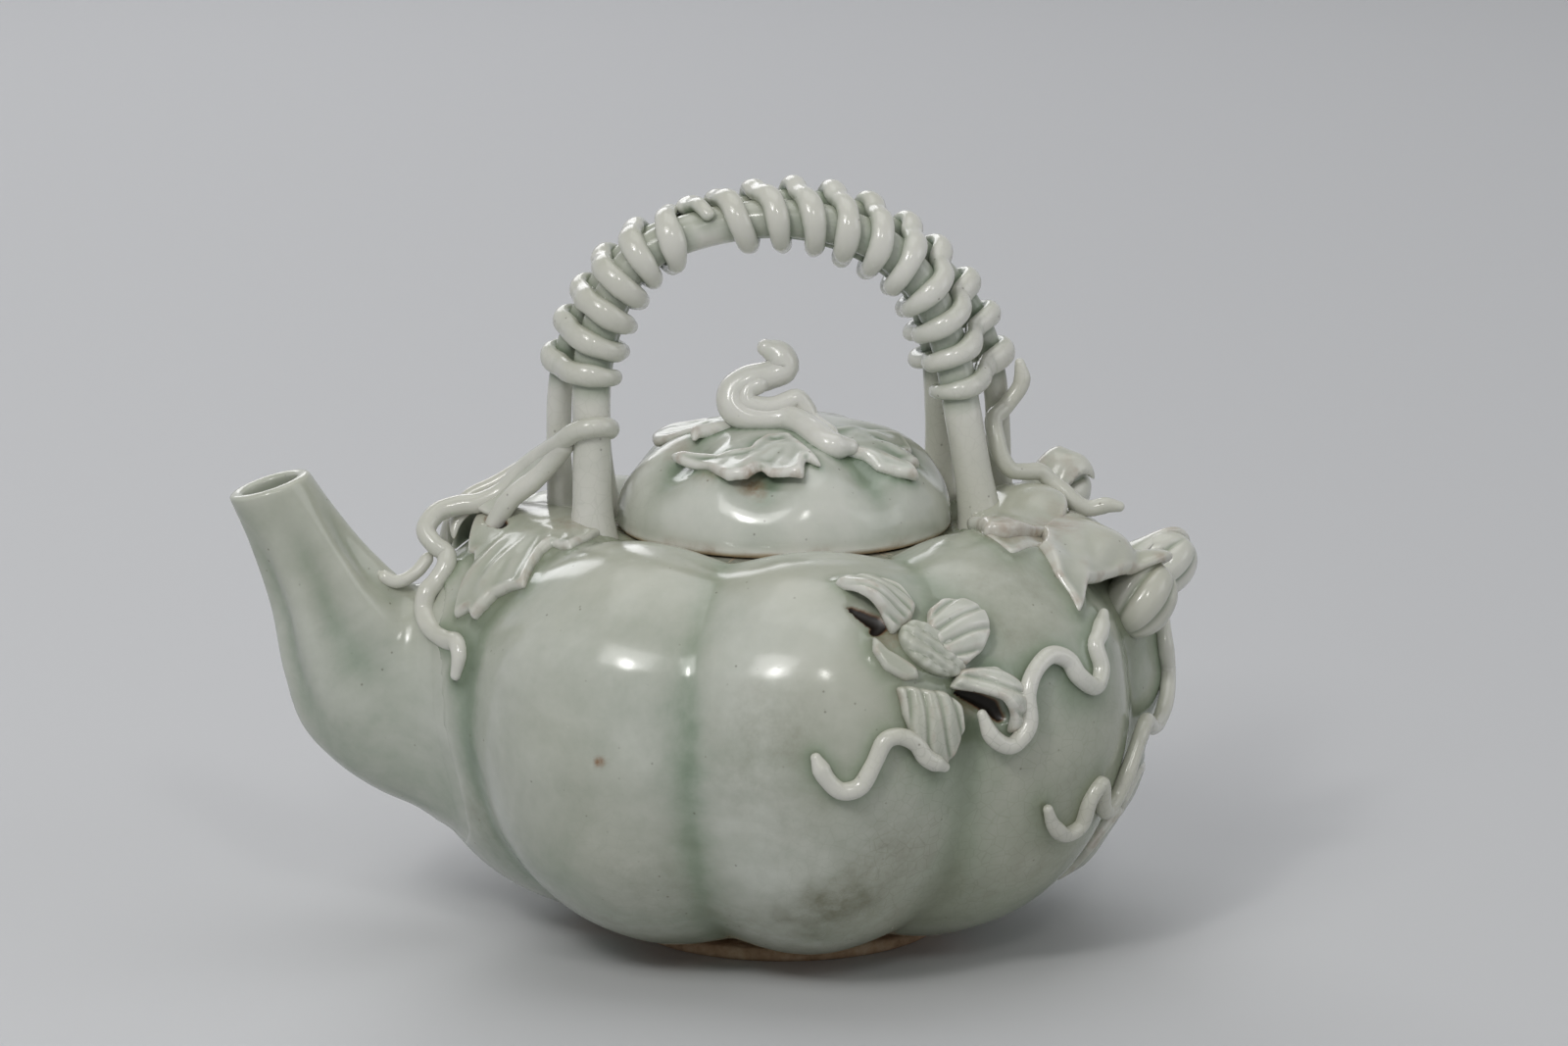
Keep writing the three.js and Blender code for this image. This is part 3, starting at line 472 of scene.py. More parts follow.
def fine_spout():
    """The spout as one sheet from its skirt on the body over the lip to its bore, and the skirt's edge."""
    sides = count(120)
    share = np.linspace(0, 1, 260) ** 0.7
    wall, centre = spout_rings(0.0, share, sides)
    wall = wall + unit(wall - centre[:, None]) * (0.15 * lumps(wall, 14.0, 5.0))[..., None]
    over = body_skin.onto(wall)[2]
    # Rows of each column: down the wall, round the fillet, then out along the body's skin
    lean = np.linspace(0, 80, count(44))[1:] * RAD
    beyond = np.linspace(0, SPOUT_SKIRT, count(10))[1:]
    drop = SPOUT_FILLET * (1 - np.sin(lean))
    spread = SPOUT_FILLET * (1 - np.cos(lean))
    rows = np.arange(len(share))
    columns = []
    for column in over.T:
        fall = np.minimum.accumulate(column)[::-1]
        row = np.interp([0, *drop[::-1], SPOUT_FILLET], fall, rows[::-1])
        down = np.linspace(0, row[-1], count(170))
        columns.append(np.r_[down, row[-2:0:-1], np.full(len(beyond), row[1])])
    row = np.array(columns).T
    low = np.minimum(row.astype(int), len(share) - 2)
    part = (row - low)[..., None]
    side = np.arange(sides)
    place = wall[low, side] * (1 - part) + wall[low + 1, side] * part
    middle = centre[low] * (1 - part) + centre[low + 1] * part
    plain = np.zeros(len(row) - len(lean) - len(beyond))
    high = np.r_[plain + SPOUT_FILLET, drop, drop[-1] - 0.06 * beyond][:, None]
    wide = np.r_[plain, spread, spread[-1] + beyond][:, None]
    angle, along, _ = body_skin.onto(place)
    up = body_skin.normal(angle, along)
    away = place - middle
    away = unit(away - up * (away * up).sum(-1, keepdims=True))
    angle, along, _ = body_skin.onto(place + away * wide[..., None])
    laid = body_skin.at(angle, along, high + swell_of(body_skin.at(angle, along)))
    near = np.clip(high / SPOUT_FILLET, 0, 1)[..., None]
    outer = laid * (1 - near) + place * near
    edge = np.stack([angle[-len(beyond)] % 360, along[-len(beyond)]], -1)
    forward = unit(centre[0] - centre[3])
    lip = []
    for k in np.linspace(0, math.pi, 9)[1:-1]:
        inset = SPOUT_WALL / 2 * (1 - math.cos(k))
        lip.append(spout_rings(inset, share[:1], sides)[0] + forward * math.sin(k) * 0.9)
    inner = spout_rings(SPOUT_WALL, np.linspace(0, 0.9, count(60)), sides)[0]
    return lattice(np.concatenate([outer[::-1], *lip, inner])), edge


def fine_body(spout_edge):
    """The vessel as one sheet over the mouth to its inside, sunk a little under the spout's skirt."""
    angle = np.linspace(0, 360, count(512), endpoint=False)
    share = np.linspace(0, 1, count(230))
    outer = body_skin.at(angle[None], share[:, None])
    normal = body_skin.normal(angle[None], share[:, None])
    fade = np.minimum(1, np.minimum(share * 12, (1 - share) * 14))[:, None]
    swell = swell_of(outer) * fade
    flat = body_skin.flat(angle[None], share[:, None], 180)
    corners = body_skin.flat(spout_edge[:, 0], spout_edge[:, 1], 180)
    under = np.clip((inside_distance(flat, corners) + 2.2) / 3, 0, 1)
    outer = outer + normal * (swell - SKIRT_SINK * under * (2 - under))[..., None]
    edge = np.linspace(0, math.pi / 2, 5)[1:]
    mouth = [(MOUTH_RADIUS + 0.6 - 0.6 * math.sin(k), LEDGE - 0.6 + 0.6 * math.cos(k)) for k in edge]
    profile = [(LEDGE_RADIUS, LEDGE), *mouth, (MOUTH_RADIUS, LEDGE - LIP_DEPTH)]
    lip = [circle(angle * RAD, radius, height) for radius, height in profile]
    inner = body_skin.at(angle[None], np.linspace(0.87, 0.01, count(40))[:, None], -WALL)
    verts, faces = lattice(np.concatenate([outer, *lip, inner]), True, True)
    middle = verts[faces[:, 0]]
    port = (middle[:, 0] < 0) & (middle[:, 1] ** 2 + (middle[:, 2] - PORT_HEIGHT) ** 2 < PORT_RADIUS**2)
    return verts, faces[~port]


def fine_foot():
    turn = turns(count(160))
    profile = [
        (8, FOOT_RECESS), (20, FOOT_RECESS), (25, 0.3), (26.2, 0), (FOOT_RADIUS - 0.8, 0),
        (FOOT_RADIUS - 0.25, 0.25), (FOOT_RADIUS, 0.8), (FOOT_RADIUS, FOOT_HEIGHT), (20, FOOT_HEIGHT)]
    rows = []
    for radius, height in profile:
        uneven = 0.15 * np.sin(5 * turn + radius) if 24 < radius < 30 else 0
        rows.append(circle(turn, radius + uneven, height))
    return outward(*lattice(np.concatenate(rows), True, True))


# Handle

# Routes of the front, back and outer stem, as shares of the spread, the body's radius and the rise
STEMS = [
    [[-1, -0.11, -0.06], [-1, -0.095, 0.3], [-0.97, -0.058, 0.61], [-0.76, -0.048, 0.868],
        [-0.34, -0.046, 0.982], [0.09, -0.046, 0.99], [0.44, -0.048, 0.92], [0.69, -0.05, 0.775],
        [0.83, -0.058, 0.575], [0.9, -0.09, 0.33], [1, -0.11, -0.06]],
    [[-0.87, 0.24, -0.06], [-0.93, 0.15, 0.3], [-0.907, 0.045, 0.6], [-0.722, 0.035, 0.843],
        [-0.328, 0.033, 0.948], [0.081, 0.033, 0.957], [0.408, 0.035, 0.885], [0.664, 0.05, 0.763],
        [0.79, 0.088, 0.567], [0.848, 0.168, 0.3], [0.87, 0.24, -0.06]],
    [[-1.11, 0.07, -0.06], [-1.14, 0.06, 0.27], [-1.09, 0.022, 0.59], [-0.785, 0.032, 0.882],
        [-0.342, 0.032, 0.992], [0.1, 0.034, 1.033], [0.477, 0.04, 0.962], [0.788, 0.045, 0.82],
        [1.02, 0.06, 0.62], [1.11, 0.08, 0.42], [1.14, 0.09, -0.06]]]
stem_curves = [Curve(scaled(t, SPREAD, BODY_RADIUS, RISE) + [0, 0, SEAT]) for t in STEMS]


def fine_stem(i):
    def radius(share):
        end = np.minimum(share, 1 - share)
        flare = np.maximum(0, 1 - end / 0.12) ** 2
        foot = np.exp(-np.maximum(0, end - 0.014) / 0.014)
        return STEM_RADII[i] + 0.8 * flare + 1.2 * foot

    shape = {"spacing": 0.9, "sides": 28, "wobble": 0.035, "rounded": False}
    return round_rope(stem_curves[i], radius, seed=2.0 + i, **shape)


def bundle(share):
    """The middle of the three stems along the arch, two directions across it, and the stems' places."""
    places = np.stack([c.at(share) for c in stem_curves], 1)
    centre = places.mean(1)
    front = np.tile([0.0, -1.0, 0.0], (len(share), 1))
    out = unit(np.cross(front, stem_curves[0].tangent(share)))
    offset = places - centre[:, None]
    x, y = (offset * front[:, None]).sum(-1), (offset * out[:, None]).sum(-1)
    return centre, front, out, x, y


def wrap_reach(x, y, turn):
    """How far out a strand lies that is drawn round the stems, between taut and sunk in."""
    reach = np.array(STEM_RADII) + STRAND_THICKNESS / 2 + GAP
    dx, dy = np.cos(turn), np.sin(turn)
    way = np.arange(72) * math.pi / 36
    nx, ny = np.cos(way), np.sin(way)
    facing = nx * dx[:, None] + ny * dy[:, None]
    support = (x[:, None] * nx[None, :, None] + y[:, None] * ny[None, :, None] + reach).max(-1)
    taut = np.where(facing < 0.05, np.inf, support / np.where(facing < 0.05, 1, facing)).min(1)
    along = x * dx[:, None] + y * dy[:, None]
    off = reach**2 - (x**2 + y**2 - along**2)
    sunk = np.where(off > 0, along + np.sqrt(np.maximum(off, 0)), 0).max(1)
    return (taut + np.maximum(sunk, taut / 2)) / 2


# Start as a share of the arch, pitch for each lap, laps, skew, hook and seed
TENDRILS = {"left": (0.195, 0.0356, 5.75, 0, False, 4.0), "right": (0.828, -0.0396, 9.75, 0.75, True, 6.0)}
HOOK_REACH = 0.72
HOOK_TURN = 2.7
STRAND_SPREAD = 1.14
STRAND_PINCH = 0.3


def winding(start, pitch, laps, skew, hook, seed):
    """A strand wound from a share of the arch, by a pitch for each lap; skew hurries it in front."""
    per = count(72)
    n = np.arange(int(round(laps * per)) + 1) / per
    turn = 2 * math.pi * n - math.pi / 2
    share = start + pitch * (n + skew * np.sin(turn) / (2 * math.pi))
    if hook:
        way = np.arange(1, count(42) + 1) / count(42)
        reach = np.sin(np.minimum(1, way * 2) * math.pi / 2) * HOOK_REACH
        share = np.r_[share, share[-1] + pitch * (reach - np.maximum(0, way - 0.6))]
        turn = np.r_[turn, turn[-1] - way * HOOK_TURN]
    centre, front, out, x, y = bundle(share)
    away = front * np.cos(turn)[:, None] + out * np.sin(turn)[:, None]
    smooth = np.ones(7) / 7
    reach = np.convolve(np.pad(wrap_reach(x, y, turn), 3, mode="edge"), smooth, "valid")
    path = centre + away * (reach + 0.1)[:, None]
    along = unit(np.gradient(path, axis=0))
    lift = unit(away - along * (away * along).sum(1, keepdims=True))
    side = np.cross(along, lift)
    uneven = lumps(path, 6.0, seed)
    path = path + side * (0.55 * lumps(path, 9.0, seed + 5))[:, None]
    pinch = 1 - STRAND_PINCH * np.maximum(0, -np.sin(turn))
    half = STRAND_WIDTH / 2 * STRAND_SPREAD * pinch * (1 + 0.2 * uneven)
    thick = (STRAND_THICKNESS / 2 + 0.75) * (1 + 0.12 * uneven)
    step = np.arange(len(path))
    end = 0.62 + 0.38 * np.minimum(1, np.minimum(step, step[::-1]) / (per * 0.35))
    return rope(path - lift * 0.3, side, lift, half * end, thick * end, 24)


# Applied ornament


def taper(share):
    return 1 - 0.4 * np.maximum(0, 1 - np.minimum(share, 1 - share) / 0.06)


def space_curve(table):
    """A route through points in space, given as shares of the body's radius and height."""
    return Curve(scaled(table, BODY_RADIUS, BODY_RADIUS, SHOULDER))


def vine(curve, radius, spacing, sides, seed):
    """A round strand with thinned ends and a hand-rolled wobble."""
    return round_rope(curve, lambda t: radius * taper(t), spacing, sides, 0.1, seed)


def web(top, low, thick):
    """Clay stretched between two strands."""
    share = np.linspace(0, 1, 40)
    upper, lower = top.at(share), low.at(share)
    centre = (upper + lower) / 2
    side = unit(upper - lower)
    half = np.linalg.norm(upper - lower, axis=1) / 2
    out = unit(np.cross(unit(np.gradient(centre, axis=0)), side))
    return rope(centre - out * 0.3, side, out, half, np.full(40, thick), 28, 2.6)


def creeper(table, radius, seed):
    """A vine laid on the body through angles and shares."""
    table = np.asarray(table, float)
    curve = Curve(body_skin.at(table[:, 0], table[:, 1], LEAF_SEAT, 0.6))
    share = np.linspace(0, 1, count(curve.length / 0.5))
    centres = curve.at(share)
    angle, along, _ = body_skin.onto(centres)
    up = body_skin.normal(angle, along)
    side = unit(np.cross(curve.tangent(share), up))
    size = radius * taper(share) * (1 + 0.1 * lumps(centres, 5.0, seed))
    return rope(centres + up * (size * 0.35)[:, None], side, up, size, size)


def blurred(field, rounds):
    for _ in range(rounds):
        for axis in (0, 1):
            padded = np.pad(field, [(1, 1) if k == axis else (0, 0) for k in (0, 1)], mode="edge")
            field = (np.take(padded, range(field.shape[axis]), axis) + 2 * field
                     + np.take(padded, range(2, field.shape[axis] + 2), axis)) / 4
    return field


def sheet_grid(edge, step, seed):
    """Places over a flat outline, the outer ones drawn in to its edge, and how deep each lies in it."""
    low, high = edge.min(0) - 3 * step, edge.max(0) + 3 * step
    x, y = np.meshgrid(np.arange(low[0], high[0], step), np.arange(low[1], high[1], step))
    grid = np.stack([x, y], -1)
    uneven = grid + 0.25 * np.stack([np.sin(y / 2.1 + seed), np.sin(x / 2.4 + 2 * seed)], -1)
    deep = blurred(inside_distance(uneven, edge), int(round((0.55 / step) ** 2)))
    slope = np.stack(np.gradient(deep, step)[::-1], -1)
    steep = np.maximum((slope**2).sum(-1), 0.2)
    return grid + np.where(deep < 0, -deep / steep, 0)[..., None] * slope, deep


def fold_on(grid, soft, start, end, height):
    """A ridge from place to place, with a shallow trough on each side."""
    away, along = line_distance(grid, start, end)
    reach = np.sin(math.pi * (0.1 + 0.85 * along))
    return height * soft * reach * (bell(away / 1.5) - 0.7 * bell((away - 3.0) / 1.3))


def ribs_on(grid, soft, start, end, spacing, height, seed):
    """Ridges along a line, side by side, that spread apart toward its end."""
    length = np.linalg.norm(end - start)
    line = (end - start) / length
    along = (grid - start) @ line
    across = (grid - start) @ np.array([-line[1], line[0]]) + 0.3 * np.sin(along / 2.5 + seed)
    spread = spacing * (0.6 + 0.4 * np.clip(along / length, 0, 1.2))
    groove = np.abs((across / spread) % 1 - 0.5) * spread
    return height * soft * (0.6 - 2.2 * bell(groove / 0.62))


def draped(lift, place, normal, balls):
    """A sheet's lift, raised where it lies over balls."""
    for centre, radius in balls:
        off = centre - place
        up = (off * normal).sum(-1)
        side = (off**2).sum(-1) - up**2
        over = up + np.sqrt(np.maximum(radius**2 - side, 0))
        lift = np.maximum(lift, np.where(side < radius**2, over, 0))
    return lift


def sewn(inner, top, under):
    """A closed mesh from a sheet's two sides, which meet round the places that are inside it."""
    cell = inner[:-1, :-1] | inner[1:, :-1] | inner[:-1, 1:] | inner[1:, 1:]
    used = np.zeros_like(inner)
    for rows, cols in ((slice(0, -1), slice(0, -1)), (slice(1, None), slice(0, -1)),
                       (slice(0, -1), slice(1, None)), (slice(1, None), slice(1, None))):
        used[rows, cols] |= cell
    above = np.full(inner.shape, -1)
    above[used] = np.arange(used.sum())
    below = above.copy()
    below[inner] = used.sum() + np.arange(inner.sum())
    faces = []
    for ids, turned in ((above, False), (below, True)):
        quad = np.stack([ids[:-1, :-1], ids[:-1, 1:], ids[1:, 1:], ids[1:, :-1]], -1)[cell]
        faces.append(quad[:, ::-1] if turned else quad)
    return outward(np.concatenate([top[used], under[inner]]), np.concatenate(faces))


def sheet(skin, outline, folds=(), ribs=None, raises=(), over=(), thick=1.5, rim=0.12, ridge=0.32,
          seat=0.0, seed=1.0, step=0.3):
    """A soft clay sheet on a skin inside an outline of angles and shares.

    Folds are ridges from place to place, ribs are parallel ridges along a line, raises lift the
    sheet near a place by a height over a radius, and over lists balls that it is draped on."""
    corners = np.asarray(outline, float)
    middle = corners[:, 0].mean()

    def flat(place):
        place = np.asarray(place, float)
        return skin.flat(place[..., 0], place[..., 1], middle)

    grid, deep = sheet_grid(flat(corners), step, seed)
    share = np.clip(grid[..., 1] / skin.length, 0, 0.995)
    angle = middle + grid[..., 0] / RAD / np.maximum(np.interp(share, skin.share, skin.fine[:, 0]), 0.5)
    soft = np.sqrt(1 - (1 - np.clip(deep, 0, 1)) ** 2)
    crown = thick * 0.7 * soft + rim * bell((deep - 1.1) / 0.8) * soft
    for start, end, *strength in folds:
        height = strength[0] if strength else ridge
        crown = crown + fold_on(grid, soft, flat(start), flat(end), height)
    if ribs:
        start, end, spacing = ribs
        crown = crown + ribs_on(grid, soft, flat(start), flat(end), spacing, ridge, seed)
    lift = np.zeros_like(deep)
    for place_angle, place_share, radius, height in raises:
        away = np.linalg.norm(grid - flat((place_angle, place_share)), axis=-1)
        lift = np.maximum(lift, 0) + height * bell(away / radius)
    lift = draped(lift, skin.at(angle, share), skin.normal(angle, share), over)
    lift = blurred(lift, int(round((1.2 / step) ** 2)) if over else 2)
    lying = np.exp(-lift / 0.6)
    border = lift + seat + 0.3 * thick * (1 - lying) - 0.35 * lying
    top = skin.at(angle, share, border + crown, 0.4)
    under = skin.at(angle, share, border - (0.35 * thick * (1 - lying) + 2.0 * lying + seat) * soft, 0.4)
    return sewn(deep > 0, top, under)


def melon_bud(place, size, raise_share, axis, seed):
    """A young melon with five grooves."""
    rows, sides = count(56), count(100)
    radius = size * BUD_RADIUS
    centre = body_skin.walk(place, 0.0, 0.0, radius * raise_share)
    axis = unit(np.array(axis, float))
    up = body_skin.normal(place[0], place[1])
    up = unit(up - axis * (up @ axis))
    side = np.cross(axis, up)
    way = math.pi * (np.arange(rows) + 0.25) / (rows - 0.5)
    turn = turns(sides)
    off = np.abs((turn / (2 * math.pi) * 5 + 0.25) % 1 - 0.5) * 2 * math.pi / 5
    groove = 0.85 * bell(off / 0.14) + 0.65 * bell(off / 0.42)
    reach = (radius + 0.2 - groove[None] * np.sin(way)[:, None] ** 0.5) * (np.sin(way) ** 0.8)[:, None]
    along = -radius * 1.14 * np.cos(way)
    across = up * (reach * np.cos(turn))[..., None] + side * (reach * np.sin(turn))[..., None]
    points = (centre + axis * along[:, None])[:, None] + across
    points = points + unit(points - centre) * (0.25 * lumps(points, 6.0, seed))[..., None]
    return outward(*lattice(points, True, True))


def bud_ball(place, size, raise_share):
    """The ball that a leaf drapes over a bud."""
    radius = size * BUD_RADIUS
    return body_skin.walk(place, 0.0, 0.0, radius * raise_share), radius + 0.4


# Angle and share on the body, and heading
FLOWER = (287.0, 0.7, -38.0)


def flower_centre():
    dome = [[1.02, -0.4], [1.04, 0.3], [0.98, 0.72], [0.8, 0.92], [0.5, 0.98], [0.02, 0.96]]
    table = flat_spline(dome, count(60))
    turn = turns(count(120))
    along = FLOWER_RADIUS * table[:, :1] * np.cos(turn)
    side = FLOWER_RADIUS * FLOWER_ASPECT * table[:, :1] * np.sin(turn)
    points = body_skin.walk(FLOWER, along, side, FLOWER_HEIGHT * table[:, 1:])
    centre = body_skin.walk(FLOWER, 0.0, 0.0, 0.0)
    up = body_skin.normal(FLOWER[0], FLOWER[1])
    row_at = side + 0.35 * lumps(points, 4.0, 6.0)
    bead_at = along + 1.1 * np.round(row_at / FLOWER_ROW)
    uneven = 0.6 + 0.5 * lumps(points, 3.0, 2.0)
    rows = 0.3 * np.cos(2 * math.pi * row_at / FLOWER_ROW)
    beads = 0.2 * np.cos(2 * math.pi * bead_at / FLOWER_BEAD)
    bump = rows + beads * uneven + 0.15 * uneven
    high = np.clip((points - centre) @ up / FLOWER_HEIGHT, 0, 1)
    return outward(*lattice(points + unit(points - centre + up) * (bump * high)[..., None], True, True))


# Outlines as angles and shares; ribs as a line and a spacing; raises as a place, a radius and a height
PETALS = [
    dict(outline=[(272, 0.815), (275.5, 0.828), (281.5, 0.83), (285, 0.81), (286.3, 0.775), (284.4, 0.748),
        (280.3, 0.725), (278, 0.752), (275.5, 0.773)], ribs=((283.5, 0.755), (274, 0.815), 4.1),
        raises=[(277, 0.772, 4.2, 3.3)]),
    dict(outline=[(286.6, 0.735), (288.3, 0.768), (292, 0.782), (295.7, 0.776), (298.2, 0.75), (298, 0.713),
        (295.7, 0.685), (292.2, 0.668), (289.2, 0.685)], ribs=((287.5, 0.715), (298, 0.735), 4.4),
        raises=[(294, 0.73, 4.5, 1.0)]),
    dict(outline=[(288.3, 0.638), (291.3, 0.662), (297.1, 0.66), (299.8, 0.635), (300.7, 0.595),
        (299.8, 0.567), (297.8, 0.557), (297.5, 0.585), (295.6, 0.609), (292.6, 0.623)],
        ribs=((289, 0.65), (299.5, 0.6), 4.0), raises=[(296.0, 0.603, 4.2, 3.2)]),
    dict(outline=[(279.3, 0.643), (281.6, 0.645), (286.9, 0.634), (289.9, 0.608), (290.5, 0.571),
        (288.4, 0.537), (285.3, 0.515), (281.9, 0.56), (279.8, 0.603)],
        ribs=((284, 0.64), (285.8, 0.52), 4.5), raises=[(285, 0.59, 5.5, 1.0)]),
    dict(outline=[(276.7, 0.728), (278.6, 0.7), (283.2, 0.67), (283.6, 0.652), (281, 0.65), (277.8, 0.67),
        (275.9, 0.699)])]
# Place with its heading, size, lift as a share of the radius, and axis
BUDS = [
    ((343.5, 0.678, 60.0), 1, 0.4, (0.62, 0.25, 0.72)), ((3.0, 0.665, 75.0), 0.92, 0.9, (0.75, 0.1, 0.6)),
    ((12.5, 0.82, 20.0), 0.92, 0.55, (0.9, 0.15, 0.35))]
balls = [bud_ball(*bud[:3]) for bud in BUDS]
LEAVES = {
    "shoulder_leaf_front": [dict(outline=[(190, 0.985), (198, 0.965), (202, 0.935), (208.5, 0.868),
        (204, 0.872), (200.5, 0.873), (201, 0.85), (204, 0.815), (209.5, 0.768), (204, 0.757),
        (201.5, 0.742), (200.5, 0.692), (198.2, 0.705), (196, 0.68), (193.3, 0.72), (190.5, 0.76),
        (187.5, 0.775), (185, 0.77), (180, 0.79), (174, 0.81), (171, 0.86), (175, 0.95)],
        folds=[((193, 0.85), (200, 0.71), 0.25), ((190, 0.85), (195.8, 0.7), 0.22),
        ((192, 0.83), (198, 0.72), -0.3), ((196, 0.87), (205.5, 0.785), -0.3),
        ((194, 0.9), (207.5, 0.78), 0.3), ((192, 0.935), (207, 0.872), 0.25)],
        raises=[(176, 0.82, 6.0, 2.0), (196, 0.75, 5.0, 0.6)])],
    "shoulder_leaf_back": [dict(outline=[(182, 0.975), (177, 0.9), (175, 0.84), (179, 0.762), (172, 0.775),
        (167, 0.735), (163, 0.79), (156, 0.735), (155, 0.8), (145, 0.8), (149, 0.85), (141, 0.88),
        (152, 0.93), (160, 0.975)], folds=[((170, 0.93), (177.5, 0.775)), ((167, 0.93), (167, 0.75)),
        ((165, 0.93), (157, 0.75)), ((162, 0.94), (147, 0.81)), ((162, 0.95), (143, 0.88))],
        raises=[(174, 0.79, 7.0, 4.6)])],
    "rear_leaf_front": [dict(outline=[(342, 0.94), (324, 0.935), (316.5, 0.905), (314, 0.865),
        (312.3, 0.829), (318.4, 0.833), (325, 0.829), (332, 0.815), (340, 0.83), (347, 0.87)],
        folds=[((330, 0.87), (313.5, 0.835))]),
        dict(outline=[(333, 0.97), (345, 0.98), (355, 0.965), (361, 0.944), (363, 0.91), (359, 0.872),
            (356, 0.848), (349, 0.836), (341, 0.838), (331, 0.85), (319, 0.866), (315.5, 0.89), (319, 0.92),
            (325, 0.95)], seat=0.9, thick=2.4, raises=[(352, 0.875, 6.0, 1.6), (322, 0.885, 4.0, 0.6)])],
    "rear_leaf_back": [dict(outline=[(3, 0.975), (5, 0.88), (8, 0.78), (17, 0.712), (20, 0.78), (22, 0.84),
        (30, 0.815), (41, 0.825), (34, 0.88), (25, 0.94), (18, 0.975)], folds=[((11, 0.93), (16.5, 0.73)),
        ((15, 0.93), (37, 0.83))])],
    "bud_leaf": [dict(outline=[(336, 0.86), (324, 0.832), (318.4, 0.775), (316.5, 0.704), (321, 0.722),
        (325, 0.742), (331, 0.735), (338, 0.715), (345, 0.698), (351, 0.688), (357, 0.66), (361, 0.69),
        (361.5, 0.75), (357, 0.79), (351, 0.835), (343, 0.86)], folds=[((333, 0.83), (318.5, 0.75), -0.4),
        ((345, 0.8), (357, 0.68)), ((338, 0.78), (326, 0.75))], over=balls[:1], thick=2.0, seat=0.2,
        raises=[(339, 0.757, 8.5, 6.0), (325, 0.77, 4.0, 0.8)]),
        dict(outline=[(355, 0.83), (366, 0.84), (375, 0.8), (379, 0.74), (375, 0.69), (370, 0.72),
            (366, 0.655), (362, 0.7), (357, 0.685), (356, 0.75)], folds=[((365, 0.81), (376, 0.71)),
            ((363, 0.81), (366, 0.675)), ((361, 0.8), (358, 0.7))], over=balls[1:2], thick=1.7, seat=0.3),
        dict(outline=[(360, 0.89), (368, 0.905), (377, 0.89), (381, 0.84), (376, 0.8), (373, 0.83),
            (369, 0.79), (366, 0.83), (361, 0.83)], folds=[((368, 0.88), (377, 0.81)),
            ((367, 0.88), (369, 0.805))], over=balls[2:], thick=1.5, seat=0.2)],
    "low_leaf_1": [dict(outline=[(352, 0.33), (345, 0.335), (337, 0.27), (334.5, 0.195), (343, 0.212),
        (350, 0.26)], folds=[((349, 0.31), (337, 0.21))], raises=[(340, 0.24, 6.0, 0.8)])],
    "low_leaf_2": [dict(outline=[(354.5, 0.4), (349, 0.395), (345.5, 0.345), (348, 0.3), (352.5, 0.325),
        (355.5, 0.36)], folds=[((352, 0.385), (348.5, 0.32))])]}
LID_LEAVES = {
    "lid_leaf_front": [dict(outline=[(202, 0.402), (210, 0.458), (229, 0.468), (243, 0.56), (249, 0.7),
        (268, 0.7), (275, 0.525), (280.5, 0.4), (272, 0.448), (270.8, 0.325), (262.5, 0.335), (257, 0.352),
        (253, 0.4), (249.3, 0.33), (241.5, 0.314), (237, 0.338), (229, 0.376), (216.5, 0.382)],
        folds=[((250, 0.6), (207, 0.42)), ((254, 0.58), (243, 0.335)), ((256, 0.58), (249, 0.345)),
        ((259, 0.58), (259, 0.36)), ((261, 0.58), (269, 0.345)), ((264, 0.6), (278, 0.42))],
        raises=[(246, 0.33, 4.5, 1.7), (266, 0.33, 4.5, 1.7), (208, 0.42, 4.5, 1.2), (256, 0.5, 8.0, 0.6)])],
    "lid_leaf_left": [dict(outline=[(175, 0.82), (152, 0.64), (152, 0.47), (160, 0.37), (170, 0.4),
        (178, 0.52), (186, 0.59), (196, 0.55), (204, 0.52), (201, 0.6), (202, 0.7), (195, 0.82)],
        folds=[((178, 0.76), (162, 0.4)), ((188, 0.74), (201, 0.55))], raises=[(162, 0.42, 5.0, 1.0),
        (200, 0.55, 3.5, 0.9)])],
    "lid_leaf_right": [dict(outline=[(291, 0.59), (301.5, 0.527), (306, 0.47), (308, 0.381), (313.5, 0.306),
        (320.4, 0.258), (322.5, 0.35), (331.5, 0.312), (336, 0.4), (348, 0.39), (358, 0.49), (352, 0.6),
        (330, 0.71), (305, 0.74)], folds=[((305, 0.6), (319, 0.28)), ((313, 0.6), (330, 0.33)),
        ((322, 0.62), (352, 0.48))], raises=[(320, 0.28, 4.0, 0.7)])]}
# Radius, then a route over the body as angles and shares
CREEPERS = {
    "flower_vine": (1.7, [[323, 0.692], [318.5, 0.667], [316.5, 0.654], [316.5, 0.621], [314.5, 0.6],
        [311, 0.621], [309.5, 0.646], [306.5, 0.658], [303, 0.642], [301, 0.613], [300.5, 0.567],
        [297.5, 0.542], [294.5, 0.558], [293, 0.592]]),
    "flower_tendril": (1.7, [[286, 0.525], [283, 0.542], [281.5, 0.563], [279, 0.575], [277, 0.571],
        [275, 0.537], [273, 0.508], [270.5, 0.504], [268.5, 0.521], [267, 0.55]]),
    "low_vine": (1.6, [[305.5, 0.433], [307.5, 0.404], [311, 0.383], [314, 0.392], [314.5, 0.433],
        [316.5, 0.454], [319, 0.414], [321, 0.4], [323.5, 0.412], [326, 0.455], [329, 0.5], [332, 0.512],
        [335.5, 0.498], [339.5, 0.486], [344, 0.49], [349, 0.515], [352, 0.545], [351, 0.58], [353, 0.615],
        [357, 0.635], [361.5, 0.66]])}
